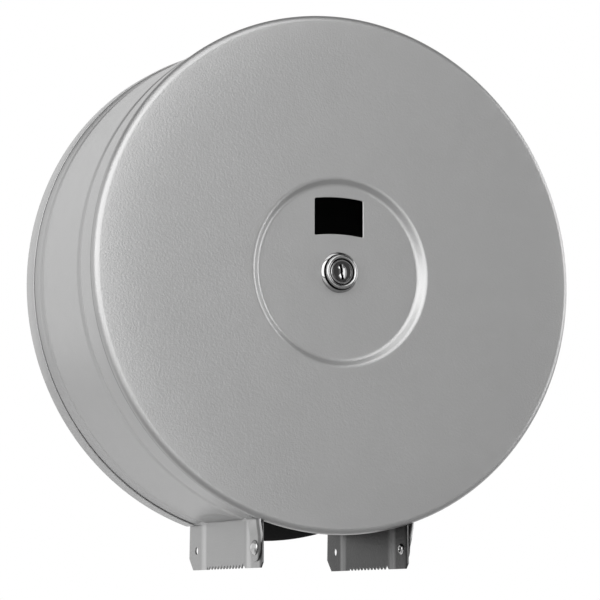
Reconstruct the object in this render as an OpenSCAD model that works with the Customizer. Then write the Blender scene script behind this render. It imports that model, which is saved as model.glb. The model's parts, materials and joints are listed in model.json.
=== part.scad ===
// Wall-mounted dispenser for one jumbo toilet roll, made of pressed and painted sheet steel.
// A round tray and a rolled strip are fixed to the wall. The round cover hangs on two rivets
// in the toothed tabs of the strip and drops forward. A cam lock in its dish holds it shut.
// Units are millimetres. X is to the right as seen from the front, Y points into the wall and
// Z is up. The origin is the middle of the wall plane.

/* [Cover] */
// Outer diameter of the cover
cover_d = 310; // [304:1:320]
// Depth of the whole body, from the wall to the front face of the cover
body_depth = 123; // [118:1:130]
// Sheet thickness of the cover
cover_t = 0.8; // [0.6:0.1:1]
// Radius on the front edge of the cover, measured outside
edge_r = 4.5; // [3:0.5:6]
// Straight length of the cover's skirt behind the rounded edge
skirt_l = 1; // [0.5:0.5:2]

/* [Dish and window] */
// Diameter of the dish in the cover at the front face
dish_d = 113.6; // [108:0.2:120]
// Diameter of the flat floor of the dish
dish_floor_d = 103.2; // [98:0.2:106]
// Depth of the dish
dish_depth = 3.5; // [2:0.5:5]
// Bend radius at both edges of the dish's wall
dish_r = 2; // [1:0.25:2.5]
// Width of the window
window_w = 31.5; // [24:0.5:36]
// Height of the window at its corners
window_h = 22; // [16:0.5:26]
// Height of the window's middle above the lock
window_z = 32.8; // [28:0.2:36]
// Rise of the window's curved upper and lower edges
window_arch = 1.2; // [0.5:0.1:2]

/* [Strip] */
// Sheet thickness of the rolled strip
strip_t = 1; // [0.9:0.1:1.2]
// Gap between the strip and the cover's skirt around it
skirt_gap = 0.4; // [0.3:0.1:0.8]
// How far the front edge of the strip reaches into the cover's skirt
skirt_lap = 0.7; // [0.5:0.1:1]
// Width of each stiffening groove in the strip
groove_w = 8.4; // [6:0.2:10]
// Depth of each groove
groove_d = 0.8; // [0.4:0.1:0.9]
// Distance of the rear groove's middle from the wall
rear_groove = 25.8; // [23:0.2:30]
// Distance of the front groove's middle behind the front face of the cover
front_groove_y = 29; // [27:0.2:30]

/* [Outlet tabs] */
// Width of the paper outlet between the outer faces of the two tabs
outlet_w = 94.6; // [84:0.2:104]
// Sideways offset of the outlet from the middle of the body
outlet_x = -1; // [-3:0.5:3]
// Height of a tab's lower edge below the hinge axis
tab_below = 11.8; // [10:0.2:14]
// Number of cutting teeth on a tab
tooth_count = 12; // [8:1:14]
// Distance from one tooth to the next
tooth_pitch = 4.7; // [4:0.1:4.9]
// Height of a tooth
tooth_h = 2.2; // [1:0.1:3]
// Distance of the first tooth from the wall
tooth_start = 31.8; // [30:0.2:32]
// Diameter of the spare hole in the rear of a tab
spare_d = 4.7; // [3:0.1:6]
// Distance of the spare hole from the wall
spare_y = 14.4; // [12:0.2:18]

/* [Hinge] */
// Drop of the hinge axis below the lowest point of the cover
hinge_drop = 7.5; // [7:0.5:13]
// Distance of the hinge axis behind the front face of the cover
hinge_y = 14; // [13:0.25:15]
// Diameter of the hinge rivets
rivet_d = 5; // [4:0.1:5.6]
// Diameter of a rivet's domed head
rivet_head_d = 8.8; // [8:0.1:10]
// Height of a rivet's head
rivet_head_h = 2; // [1.2:0.1:2.5]
// Height of a rivet's rolled tail
rivet_tail_h = 1.1; // [0.8:0.1:2]
// Radius of the round end of each hinge ear
ear_r = 8; // [7:0.25:9]
// Side gap between a tab, the ear and the rivet's head
ear_gap = 0.35; // [0.3:0.05:0.5]
// How far the top of an ear stands further out than its round end
ear_lean = 1.25; // [1.1:0.05:1.4]

/* [Tray] */
// Sheet thickness of the tray
tray_t = 0.8; // [0.6:0.1:1.2]
// Depth of the tray's rim, from the wall
rim_depth = 15; // [10:0.5:18]
// Radius between the tray's disc and its rim, measured outside
rim_r = 2; // [1.5:0.5:2.5]
// Gap between the rim and the strip inside it
rim_gap = 0.9; // [0.5:0.1:1.5]
// Gap between each end of the rim and the tab beside it
rim_end_gap = 1.7; // [1:0.1:3]
// How far the tray's edge stays behind the liner's edge at the outlet
tray_inset = 1.8; // [1:0.1:4]
// Thickness of the plastic liner
liner_t = 2.5; // [2:0.25:4]
// Gap between the liner's edge and the tray's rim
liner_gap = 0.4; // [0.2:0.1:0.6]

/* [Wall fixing] */
// Distance between the wall screws, side to side
wall_pitch_x = 180; // [160:5:200]
// Distance between the wall screws, up and down
wall_pitch_z = 120; // [100:5:140]
// Diameter of a wall screw hole in the tray
wall_hole_d = 6; // [4:0.5:7]
// Diameter of the hole in the liner that lets a screw's head through
head_hole_d = 15; // [12:0.5:18]

/* [Strip brackets] */
// Number of angle brackets that hold the strip
bracket_count = 4; // [3:1:6]
// Sheet thickness of a bracket
bracket_t = 1.2; // [1:0.1:1.5]
// Length of a bracket's foot towards the middle
bracket_foot = 15; // [12:0.5:20]
// Height of a bracket's leg along the strip
bracket_leg = 15; // [10:0.5:16]
// Width of a bracket as an angle round the body
bracket_angle = 9; // [6:0.5:12]
// Diameter of a bracket rivet
bracket_rivet_d = 4; // [3:0.1:5]

/* [Spindle] */
// Diameter of the fixed spindle
spindle_d = 16; // [14:0.5:16]
// Diameter of the spindle's flanged base
base_d = 64; // [58:1:72]
// Thickness of the base's flange
base_t = 2.5; // [2:0.25:4]
// Diameter of the base's boss
boss_d = 26; // [24:0.5:28]
// Height of the boss above the liner
boss_h = 6; // [5:0.5:8]
// Number of screws in the base
base_screw_count = 3; // [3:1:6]
// Diameter of the circle that the base's screws lie on
base_screw_pcd = 46; // [44:1:48]
// Diameter of a base screw
base_screw_d = 4; // [3:0.5:5]
// Thickness of the washers at both ends of the hub
washer_t = 1; // [0.5:0.1:1.5]
// Outer diameter of those washers
washer_d = 25; // [22:0.5:25]
// Thickness of the spindle's retaining clip
clip_t = 1.2; // [1:0.1:1.5]
// Depth of the clip's groove in the spindle
clip_groove = 0.8; // [0.5:0.1:1]
// Length of the spindle in front of the clip
spindle_nose = 2.3; // [1.5:0.1:4]

/* [Hub] */
// Outer diameter of the hub that carries the roll's core
hub_d = 42; // [42:0.5:46]
// Wall of the hub's outer tube
hub_wall = 2.5; // [2:0.25:3.5]
// Diameter of the disc at the rear of the hub
hub_disc_d = 84; // [74:1:110]
// Thickness of that disc
hub_disc_t = 2.5; // [2:0.25:4]
// Height of the step in the hub that the disc sits on
hub_step = 1; // [0.5:0.1:1.2]
// Wall of the hub's inner tube
hub_inner_wall = 2.5; // [2:0.25:3]
// Number of ribs between the two tubes
hub_rib_count = 6; // [4:1:8]
// Thickness of a rib
hub_rib_t = 2; // [1.5:0.25:3]
// Wall of the bushes that run on the spindle
bush_wall = 1.5; // [1:0.25:2]
// Length of a bush
bush_l = 10; // [6:1:16]

/* [Lock] */
// Diameter of the lock's collar where it meets the dish
collar_d = 26; // [24:0.5:30]
// Diameter of the collar's front rim
collar_front_d = 21; // [20:0.5:23]
// Height of the collar in front of the dish
collar_h = 5.3; // [4:0.1:6.5]
// Diameter of the lock's barrel
barrel_d = 19; // [19:0.5:20]
// Length of the barrel behind the face of the dish
barrel_l = 15; // [14:0.5:17]
// Diameter of the plug's head
plug_head_d = 14.5; // [13.5:0.1:15]
// Length of the plug's head
plug_head_l = 4; // [3:0.5:6]
// Diameter of the plug's body
plug_d = 12; // [10:0.5:12.5]
// How far the plug's face lies behind the collar's rim
plug_inset = 0.6; // [0.3:0.1:1.2]
// Width of the key slot
key_w = 1.5; // [1:0.1:2]
// Height of the key slot
key_h = 9; // [7:0.25:10]
// Depth of the key slot
key_depth = 8; // [4:0.5:12]
// Tilt of the key slot from upright
key_tilt = 8; // [0:1:12]
// Distance across the flats of the lock's nut
nut_af = 25; // [24:0.5:28]
// Thickness of the nut
nut_t = 3.5; // [2.5:0.5:5]
// Outer diameter of the washer under the nut
nut_washer_d = 30; // [28:0.5:34]
// Thickness of that washer
nut_washer_t = 1; // [0.8:0.1:1.5]

/* [Cam and keeper] */
// Thickness of the cam
cam_t = 2; // [1.5:0.25:2.5]
// Width of the cam
cam_w = 12; // [10:0.5:13]
// Reach of the cam from the middle of the lock
cam_reach = 18.3; // [17:0.1:18.5]
// Thickness of the washer on the cam
cam_washer_t = 0.8; // [0.5:0.1:1]
// Diameter of the cam's screw
cam_screw_d = 4; // [3:0.5:5]
// Sheet thickness of the keeper
keeper_t = 1.2; // [1:0.1:1.4]
// Width of the keeper
keeper_w = 14; // [12:0.5:15]
// Reach of the keeper's outer face from the middle of the lock
keeper_reach = 20.7; // [20.5:0.1:21]
// Length of the keeper's tongue in front of the cam
keeper_tongue = 8.4; // [7:0.2:8.6]
// Gap between the cam and the keeper's tongue
keeper_gap = 0.8; // [0.6:0.1:1]
// Diameter of the screw that holds the keeper
keeper_screw_d = 4; // [3:0.5:5]
// Length of that screw in the spindle
keeper_screw_l = 12; // [8:1:20]
// Diameter of its sunk head
keeper_head_d = 6.4; // [6:0.2:7]
// Length of the cam's screw inside the plug
cam_screw_l = 6; // [4:0.5:8]

/* [Hidden] */
$fn = 96;

// Clearance all round a piece that is fixed in its hole.
fixed_gap = 0.03;
// Clearance all round a piece that turns in or on another.
running_gap = 0.07;
// End gap between a turning piece and the fixed piece beside it.
end_gap = 0.3;
// Extra length of a cutting shape past the face it cuts.
over = 1;
// Straight pieces in the curve across one groove.
groove_steps = 8;

steel_grey = [0.66, 0.66, 0.66];
chrome = [0.85, 0.86, 0.88];
bright_steel = [0.75, 0.76, 0.78];
dark_plastic = [0.12, 0.12, 0.13];
bush_white = [0.88, 0.87, 0.83];

// Cover: radii and depths from the wall.
cover_ro = cover_d / 2;
cover_ri = cover_ro - cover_t;
edge_start = body_depth - edge_r;
skirt_rear = edge_start - skirt_l;
floor_front = body_depth - dish_depth;
floor_rear = floor_front - cover_t;

// Strip: it runs inside the skirt in front and inside the rim behind.
strip_ro = cover_ri - skirt_gap;
strip_ri = strip_ro - strip_t;
strip_rear = tray_t + liner_t;
strip_front = skirt_rear + skirt_lap;
front_groove = body_depth - front_groove_y;
hinge_z = cover_ro + hinge_drop;
tab_step = 0.15;
tab_half = outlet_w / 2;
tab_end_z = -hinge_z - tab_below;

// Hinge: the axis lies this far from the wall.
hinge_depth = body_depth - hinge_y;
ear_in = tab_half + ear_gap;
ear_out = ear_in + cover_t;
ear_fold_z = -hinge_z + ear_r * 0.9;
ear_lap = 1.2;
tongue_rear = hinge_depth - 1.5;
tongue_w = 3.2;

// Tray and liner.
rim_ri = strip_ro + rim_gap;
rim_ro = rim_ri + tray_t;
liner_ro = rim_ri - liner_gap;
liner_front = tray_t + liner_t;
rim_end_half = tab_half + rim_end_gap;

// Lock, measured from the wall.
collar_front = floor_front + collar_h;
barrel_rear = floor_front - barrel_l;
plug_front = collar_front - plug_inset;
plug_tail = 0.7;
collar_round = 0.8;
collar_step = 2.2;
plug_rear = barrel_rear - plug_tail;
cam_rear = plug_rear - cam_t;
cam_head_h = 1.6;
cam_blunt = 0.5;
cam_washer_rear = cam_rear - cam_washer_t;
cam_head_rear = cam_washer_rear - cam_head_h;
nut_front = floor_rear - nut_washer_t;
nut_rear = nut_front - nut_t;

// Keeper and spindle, set from the cam so that they stay in its reach.
cam_head_gap = 1;
tongue_at = plug_rear + keeper_gap;
keeper_front = cam_head_rear - cam_head_gap;
spindle_tip = keeper_front - keeper_t;
clip_front = spindle_tip - spindle_nose;
clip_rear = clip_front - clip_t;
clip_ro = spindle_d / 2 + 2.2;
clip_slot = spindle_d * 0.55;
front_washer_rear = clip_rear - washer_t;
hub_front = front_washer_rear - end_gap;
rear_washer_rear = liner_front + boss_h;
hub_rear = rear_washer_rear + washer_t + end_gap;
hub_l = hub_front - hub_rear;
bush_ri = spindle_d / 2 + running_gap;
bush_ro = bush_ri + bush_wall;
hub_bore_r = bush_ro + fixed_gap;
hub_inner_ro = hub_bore_r + hub_inner_wall;
hub_ro = hub_d / 2;
hub_ri = hub_ro - hub_wall;
rib_setback = 2;

// Small fasteners.
bracket_head_h = 1.5;
base_head_h = 2;
cross_l = 3.6;
cross_w = 0.7;
cross_depth = 0.6;

// Brackets: angle of the first one from the right, and the angle from it to the last.
bracket_first = -40;
bracket_span = 260;
bracket_rivet_r = strip_ri - bracket_foot * 0.6;

// Turns wall coordinates into the part's own: x stays, y becomes up and z the distance from the wall.
module on_wall() {
    rotate([90, 0, 0]) children();
}

// Ring or disc with its lower face at z0.
module ring(ro, ri, z0, h) {
    translate([0, 0, z0]) difference() {
        cylinder(r = ro, h = h);
        if (ri > 0) translate([0, 0, -over]) cylinder(r = ri, h = h + 2 * over);
    }
}

// Cylinder along x from x0, at a depth from the wall and a height.
module cross_pin(r, x0, length, depth, height) {
    translate([x0, height, depth]) rotate([0, 90, 0]) cylinder(r = r, h = length);
}

// Plate lying across x, whose children are drawn as (distance from the wall, height).
module side_plate(x0, width) {
    translate([x0, 0, 0]) rotate([0, 90, 0]) linear_extrude(width) mirror([1, 0, 0]) children();
}

// Puts one child on the right and its mirror image on the left, both moved to the outlet's middle.
module both_sides() {
    translate([outlet_x, 0, 0]) {
        children();
        mirror([1, 0, 0]) children();
    }
}

// Points of a circular arc.
function arc(cx, cy, r, a0, a1, steps) =
    [for (i = [0:steps]) let (a = a0 + (a1 - a0) * i / steps) [cx + r * cos(a), cy + r * sin(a)]];

// Depth of the strip's grooves at a distance from the wall, along a cosine.
function groove_at(depth, middle) =
    abs(depth - middle) < groove_w / 2 ? groove_d * (1 + cos(360 * (depth - middle) / groove_w)) / 2 : 0;
function sink(depth) = groove_at(depth, rear_groove) + groove_at(depth, front_groove);

// Section of the strip as (distance across, distance from the wall), its outer face at start. All
// its points stand forward by step.
function strip_section(start, step) = let (depths = concat(
    [strip_rear],
    [for (i = [0:groove_steps]) rear_groove + groove_w * (i / groove_steps - 0.5)],
    [for (i = [0:groove_steps]) front_groove + groove_w * (i / groove_steps - 0.5)],
    [strip_front - 2 * step]
)) concat(
    [for (d = depths) [start - sink(d), d + step]],
    [for (i = [len(depths) - 1:-1:0]) [start - sink(depths[i]) - strip_t, depths[i] + step]]
);

// Outer face of the tab on one side (1 is right), and the angle at which the rolled part ends
// inside the tab's thickness.
function tab_x(side) = tab_half + side * outlet_x;
function roll_end(side) = asin((tab_x(side) - strip_t * 0.5) / strip_ro);

// Side view of a tab: straight flanges, chamfered corners, a row of teeth between and a step in
// front that leaves room for the cover's skirt.
tab_rear = strip_rear + tab_step;
tab_front = skirt_rear - end_gap;
rear_chamfer = [6, 7];
front_chamfer = 3;
notch_w = 3.6;
notch_h = 3;
tooth_end = tooth_start + tooth_count * tooth_pitch;
tooth_points = [
    for (i = [0:tooth_count - 1])
        for (p = [[i, tooth_h], [i + 0.5, 0]])
            [tooth_start + p[0] * tooth_pitch, tab_end_z + p[1]]
];
function tab_outline(side) = let (step_z = -sqrt(pow(strip_ro, 2) - pow(tab_x(side), 2))) concat(
    [[0, 0], [0, tab_end_z + rear_chamfer[1]], [tab_rear, tab_end_z + rear_chamfer[1]]],
    [[tab_rear + rear_chamfer[0], tab_end_z], [tooth_start, tab_end_z]],
    tooth_points,
    [[tooth_end, tab_end_z + notch_h], [tooth_end + notch_w, tab_end_z]],
    [[tab_front - front_chamfer, tab_end_z], [tab_front, tab_end_z + front_chamfer]],
    [[tab_front, step_z], [body_depth, step_z], [body_depth, 0]]
);

// One end of the strip, drawn as the right one: a toothed tab folded straight down. Its upper end
// lies inside the rolled part's thickness, at the grooves too. Its section stands tab_step forward
// of the rolled part's, so that their edges cross and never meet in a point.
module tab(side) {
    difference() {
        intersection() {
            rotate([90, 0, 0]) linear_extrude(-tab_end_z) polygon(strip_section(tab_x(side), tab_step));
            side_plate(0, cover_ro) polygon(tab_outline(side));
        }
        ring(strip_ro - (strip_t + groove_d) / 2, 0, strip_rear - over, strip_front);
        cross_pin(rivet_d / 2 + fixed_gap, 0, cover_ro, hinge_depth, -hinge_z);
        cross_pin(spare_d / 2, 0, cover_ro, spare_y, -hinge_z);
    }
}

module side_strip() {
    color(steel_grey) on_wall() union() {
        rotate([0, 0, roll_end(1) - 90])
            rotate_extrude(angle = 360 - roll_end(1) - roll_end(-1)) polygon(strip_section(strip_ro, 0));
        tab(1);
        mirror([1, 0, 0]) tab(-1);
    }
}

// Screw places on the wall.
module at_wall_screws() {
    for (x = [-1, 1])
        for (z = [-1, 1])
            translate([x * wall_pitch_x / 2, z * wall_pitch_z / 2, 0]) children();
}

// Places of the brackets, spread over the part of the strip away from the outlet.
module at_brackets() {
    for (i = [0:bracket_count - 1])
        rotate([0, 0, bracket_first + bracket_span * i / (bracket_count - 1)]) children();
}

// Places of the base's screws.
module at_base_screws() {
    for (i = [0:base_screw_count - 1])
        rotate([0, 0, 90 + 360 * i / base_screw_count])
            translate([base_screw_pcd / 2, 0, 0]) children();
}

// Rivet places in the brackets' feet.
module at_bracket_rivets() {
    at_brackets() translate([bracket_rivet_r, 0, 0]) children();
}

module back_tray() {
    section = concat(
        [[0, 0]],
        arc(rim_ro - rim_r, rim_r, rim_r, -90, 0, 6),
        [[rim_ro, rim_depth], [rim_ri, rim_depth]],
        arc(rim_ro - rim_r, rim_r, rim_r - tray_t, 0, -90, 6),
        [[0, tray_t]]
    );
    color(steel_grey) on_wall() difference() {
        rotate_extrude() polygon(section);
        intersection() {
            translate([outlet_x - rim_end_half, -cover_d, -over])
                cube([2 * rim_end_half, cover_d, rim_depth + 2 * over]);
            ring(cover_d, liner_ro - tray_inset, -over, rim_depth + 2 * over);
        }
        at_wall_screws() ring(wall_hole_d / 2, 0, -over, tray_t + 2 * over);
        at_bracket_rivets() ring(bracket_rivet_d / 2 + fixed_gap, 0, -over, tray_t + 2 * over);
        at_base_screws() ring(base_screw_d / 2 + fixed_gap, 0, -over, tray_t + 2 * over);
    }
}

// Its rear edge is chamfered, so that it clears the bend between the tray's disc and rim.
module back_liner() {
    bevel = rim_r - tray_t;
    color(dark_plastic) on_wall() difference() {
        rotate_extrude() polygon([
            [0, tray_t], [liner_ro - bevel, tray_t], [liner_ro, tray_t + bevel],
            [liner_ro, liner_front], [0, liner_front]
        ]);
        at_wall_screws() ring(head_hole_d / 2, 0, 0, liner_front + over);
        at_bracket_rivets() ring(bracket_rivet_d / 2 + fixed_gap, 0, 0, liner_front + over);
        at_base_screws() ring(base_screw_d / 2 + fixed_gap, 0, 0, liner_front + over);
    }
}

module strip_brackets() {
    section = [
        [strip_ri - bracket_foot, 0], [strip_ri, 0], [strip_ri, bracket_leg],
        [strip_ri - bracket_t, bracket_leg], [strip_ri - bracket_t, bracket_t],
        [strip_ri - bracket_foot, bracket_t]
    ];
    color(bright_steel) on_wall() difference() {
        at_brackets() rotate([0, 0, -bracket_angle / 2]) translate([0, 0, liner_front])
            rotate_extrude(angle = bracket_angle) polygon(section);
        at_bracket_rivets()
            ring(bracket_rivet_d / 2 + fixed_gap, 0, liner_front - over, bracket_t + 2 * over);
    }
}

module bracket_rivets() {
    top = liner_front + bracket_t;
    color(bright_steel) on_wall() at_bracket_rivets() {
        cylinder(r = bracket_rivet_d / 2, h = top);
        translate([0, 0, top]) cylinder(r1 = bracket_rivet_d, r2 = bracket_rivet_d * 0.7, h = bracket_head_h);
    }
}

module spindle_base() {
    color(bright_steel) on_wall() difference() {
        union() {
            ring(base_d / 2, 0, liner_front, base_t);
            ring(boss_d / 2, 0, liner_front, boss_h);
        }
        ring(spindle_d / 2 + fixed_gap, 0, liner_front - over, boss_h + 2 * over);
        at_base_screws() ring(base_screw_d / 2 + fixed_gap, 0, liner_front - over, base_t + 2 * over);
    }
}

// Pan head with a cross recess, its lower face at z0 and facing out from the wall.
module pan_head(d, h, z0) {
    difference() {
        translate([0, 0, z0]) cylinder(r1 = d, r2 = d * 0.8, h = h);
        for (a = [0, 90])
            rotate([0, 0, a]) translate([-d * 0.6, -d * 0.1, z0 + h * 0.4]) cube([d * 1.2, d * 0.2, h]);
    }
}

module base_screws() {
    top = liner_front + base_t;
    color(bright_steel) on_wall() at_base_screws() {
        cylinder(r = base_screw_d / 2, h = top);
        pan_head(base_screw_d, base_head_h, top);
    }
}

module spindle() {
    color(bright_steel) on_wall() difference() {
        ring(spindle_d / 2, 0, liner_front, spindle_tip - liner_front);
        ring(spindle_d, spindle_d / 2 - clip_groove, clip_rear, clip_t);
        ring(keeper_screw_d / 2 + fixed_gap, 0, spindle_tip - keeper_screw_l, keeper_screw_l + over);
    }
}

module rear_washer() {
    color(bush_white) on_wall()
        ring(washer_d / 2, spindle_d / 2 + running_gap, rear_washer_rear, washer_t);
}

module front_washer() {
    color(bright_steel) on_wall()
        ring(washer_d / 2, spindle_d / 2 + running_gap, front_washer_rear, washer_t);
}

// Open ring that snaps into the spindle's groove.
module retaining_clip() {
    color(bright_steel) on_wall() difference() {
        ring(clip_ro, spindle_d / 2 - clip_groove + fixed_gap, clip_rear, clip_t);
        translate([-clip_slot / 2, -spindle_d, clip_rear - over])
            cube([clip_slot, spindle_d, clip_t + 2 * over]);
    }
}

// Bent plate on the end of the spindle: a foot, a leg and a tongue that the cam turns behind. Its
// outer end is round, so that a roll's core slides over it.
module lock_keeper() {
    half = keeper_w / 2;
    color(bright_steel) on_wall() difference() {
        union() {
            intersection() {
                translate([-keeper_reach, -half, 0]) cube([keeper_reach, keeper_w, body_depth]);
                union() {
                    ring(keeper_reach, 0, spindle_tip, keeper_t);
                    ring(keeper_reach, keeper_reach - keeper_t, spindle_tip, tongue_at - spindle_tip);
                    ring(keeper_reach, keeper_reach - keeper_tongue, tongue_at, keeper_t);
                }
            }
            ring(half, 0, spindle_tip, keeper_t);
        }
        ring(keeper_screw_d / 2 + fixed_gap, 0, spindle_tip - over, keeper_t + 2 * over);
        translate([0, 0, spindle_tip]) cylinder(
            r1 = keeper_screw_d / 2 + fixed_gap,
            r2 = keeper_head_d / 2 + fixed_gap,
            h = keeper_t
        );
    }
}

module keeper_screw() {
    color(bright_steel) on_wall() difference() {
        union() {
            ring(keeper_screw_d / 2, 0, spindle_tip - keeper_screw_l, keeper_screw_l);
            translate([0, 0, spindle_tip])
                cylinder(r1 = keeper_screw_d / 2, r2 = keeper_head_d / 2, h = keeper_t);
        }
        for (a = [0, 90])
            rotate([0, 0, a]) translate([-cross_l / 2, -cross_w / 2, keeper_front - cross_depth])
                cube([cross_l, cross_w, over]);
    }
}

// Domed head outside the ear, solid shank through ear and tab, rolled hollow tail inside the tab.
module hinge_rivets() {
    head_at = ear_out + ear_gap;
    tail_at = tab_half - strip_t - rivet_tail_h;
    dome_r = (pow(rivet_head_d / 2, 2) + pow(rivet_head_h, 2)) / (2 * rivet_head_h);
    dome_angle = asin(rivet_head_d / 2 / dome_r);
    tail_r = rivet_d * 0.65;
    hollow_r = rivet_d * 0.3;
    section = concat(
        [[hollow_r, tail_at], [tail_r, tail_at], [tail_r, tail_at + rivet_tail_h]],
        [[rivet_d / 2, tail_at + rivet_tail_h], [rivet_d / 2, head_at]],
        arc(0, head_at + rivet_head_h - dome_r, dome_r, 90 - dome_angle, 90, 6),
        [[0, tail_at + rivet_tail_h], [hollow_r, tail_at + rivet_tail_h]]
    );
    color(bright_steel) on_wall() both_sides()
        translate([0, -hinge_z, hinge_depth]) rotate([0, 90, 0]) rotate_extrude() polygon(section);
}

// Angle of the dish's wall, between the two bends of radius dish_r.
dish_run = (dish_d - dish_floor_d) / 2;
dish_bend = 2 * atan(dish_depth / dish_run);

// Section of the pressed cover along one of its two faces, offset inwards by t. Its skirt is as long
// as the tongues.
function cover_face(t) = concat(
    [[0, floor_front - t]],
    arc(dish_floor_d / 2, floor_front + dish_r, dish_r + t, -90, dish_bend - 90, 5),
    arc(dish_d / 2, body_depth - dish_r, dish_r - t, 90 + dish_bend, 90, 5),
    arc(cover_ro - edge_r, edge_start, edge_r - t, 90, 0, 8),
    [[cover_ro - t, tongue_rear]]
);

// Height of the skirt's lowest line where the ear on one side (1 is right) joins it, and the reach
// within which that ear turns under the strip.
function ear_joint_z(side) = -sqrt(pow(cover_ro, 2) - pow(ear_out + ear_lean + side * outlet_x, 2));
function ear_turn_r(side) =
    hinge_z - sqrt(pow(strip_ro, 2) - pow(ear_in + side * outlet_x, 2)) - end_gap;

// Side view of a hinge ear as (distance from the wall, height): a round end, a rear part within the
// ear's turning circle and a wider front part.
module ear_outline(side) {
    translate([hinge_depth, -hinge_z]) {
        circle(r = ear_r);
        intersection() {
            translate([-ear_r, 0]) square([2 * ear_r, cover_ro]);
            circle(r = ear_turn_r(side));
        }
        square([hinge_y - edge_r + ear_lap, cover_ro]);
    }
}

// Hinge ear of one side, drawn on the right: a plate beside the tab that leans out to the skirt.
module ear(side) {
    top = ear_joint_z(side) + cover_t / 2;
    difference() {
        intersection() {
            translate([0, 0, tongue_rear - ear_r]) linear_extrude(cover_d) polygon([
                [ear_in, -cover_d], [ear_out, -cover_d], [ear_out, ear_fold_z],
                [ear_out + ear_lean, top], [ear_in + ear_lean, top], [ear_in, ear_fold_z]
            ]);
            side_plate(0, cover_ro) ear_outline(side);
        }
        cross_pin(rivet_d / 2 + running_gap, 0, cover_ro, hinge_depth, -hinge_z);
    }
}

// Stretch of the skirt above one ear, drawn wider and deeper than the sheet.
module tongue_sector(side) {
    start = ear_in + ear_lean + cover_t / 2 + side * outlet_x;
    a0 = asin(start / cover_ro);
    a1 = asin((start + tongue_w) / cover_ro);
    rotate([0, 0, a0 - 90]) rotate_extrude(angle = a1 - a0)
        translate([cover_ri - 2 * over, tongue_rear - 2 * over])
            square([cover_t + 4 * over, body_depth - tongue_rear]);
}

// Window outline with both long edges curved upwards.
module window_outline() {
    steps = 12;
    function edge(x) = window_arch * (1 - pow(2 * x / window_w, 2));
    xs = [for (i = [0:steps]) window_w * (i / steps - 0.5)];
    polygon(concat(
        [for (x = xs) [x, window_z - window_h / 2 + edge(x)]],
        [for (i = [steps:-1:0]) [xs[i], window_z + window_h / 2 + edge(xs[i])]]
    ));
}

module front_cover() {
    outer = cover_face(0);
    inner = cover_face(cover_t);
    section = concat(outer, [for (i = [len(inner) - 1:-1:0]) inner[i]]);
    color(steel_grey) on_wall() union() {
        difference() {
            rotate_extrude() polygon(section);
            translate([0, 0, floor_rear - over]) linear_extrude(cover_t + 2 * over) window_outline();
            ring(barrel_d / 2 + fixed_gap, 0, floor_rear - over, cover_t + 2 * over);
            difference() {
                ring(cover_ro + over, cover_ri - over, tongue_rear - over, skirt_rear - tongue_rear + over);
                tongue_sector(1);
                mirror([1, 0, 0]) tongue_sector(-1);
            }
        }
        translate([outlet_x, 0, 0]) ear(1);
        translate([outlet_x, 0, 0]) mirror([1, 0, 0]) ear(-1);
    }
}

// Collar with a rounded shoulder, and the barrel with a stepped bore for the plug.
module lock_barrel() {
    front_r = collar_front_d / 2;
    shoulder = arc(front_r - collar_round, collar_front - collar_round, collar_round, 0, 90, 4);
    section = concat(
        [[plug_d / 2 + running_gap, barrel_rear], [barrel_d / 2, barrel_rear]],
        [[barrel_d / 2, floor_front], [collar_d / 2, floor_front]],
        [[collar_d / 2, floor_front + collar_round], [front_r, collar_front - collar_step]],
        shoulder,
        [[plug_head_d / 2 + running_gap, collar_front]],
        [[plug_head_d / 2 + running_gap, plug_front - plug_head_l - running_gap]],
        [[plug_d / 2 + running_gap, plug_front - plug_head_l - running_gap]]
    );
    color(chrome) on_wall() rotate_extrude() polygon(section);
}

module lock_washer() {
    color(bright_steel) on_wall()
        ring(nut_washer_d / 2, barrel_d / 2 + fixed_gap, nut_front, nut_washer_t);
}

module lock_nut() {
    color(bright_steel) on_wall() difference() {
        translate([0, 0, nut_rear]) cylinder(r = nut_af / 2 / cos(30), h = nut_t, $fn = 6);
        ring(barrel_d / 2 + fixed_gap, 0, nut_rear - over, nut_t + 2 * over);
    }
}

module lock_plug() {
    color(chrome) on_wall() difference() {
        union() {
            ring(plug_d / 2, 0, plug_rear, plug_front - plug_head_l - plug_rear);
            ring(plug_head_d / 2, 0, plug_front - plug_head_l, plug_head_l);
        }
        rotate([0, 0, key_tilt]) translate([-key_w / 2, -key_h / 2, plug_front - key_depth])
            cube([key_w, key_h, key_depth + over]);
        ring(cam_screw_d / 2 + fixed_gap, 0, plug_rear - over, cam_screw_l + over);
    }
}

// Flat cam that points down when the lock is open.
module lock_cam() {
    tip = cam_w * 0.35;
    color(bright_steel) on_wall() difference() {
        union() {
            ring(cam_w / 2, 0, cam_rear, cam_t);
            translate([0, 0, cam_rear]) linear_extrude(cam_t) polygon([
                [-cam_w / 2, 0], [-cam_w / 2, tip - cam_reach],
                [-cam_w / 2 + tip / 2, cam_blunt - cam_reach],
                [cam_w / 2 - tip / 2, cam_blunt - cam_reach],
                [cam_w / 2, tip - cam_reach], [cam_w / 2, 0]
            ]);
        }
        ring(cam_screw_d / 2 + fixed_gap, 0, cam_rear - over, cam_t + 2 * over);
    }
}

module cam_washer() {
    color(bright_steel) on_wall()
        ring(cam_screw_d, cam_screw_d / 2 + fixed_gap, cam_washer_rear, cam_washer_t);
}

module cam_screw() {
    color(bright_steel) on_wall() {
        ring(cam_screw_d / 2, 0, cam_washer_rear, plug_rear + cam_screw_l - cam_washer_rear);
        translate([0, 0, cam_washer_rear]) mirror([0, 0, 1]) pan_head(cam_screw_d * 0.9, cam_head_h, 0);
    }
}

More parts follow.
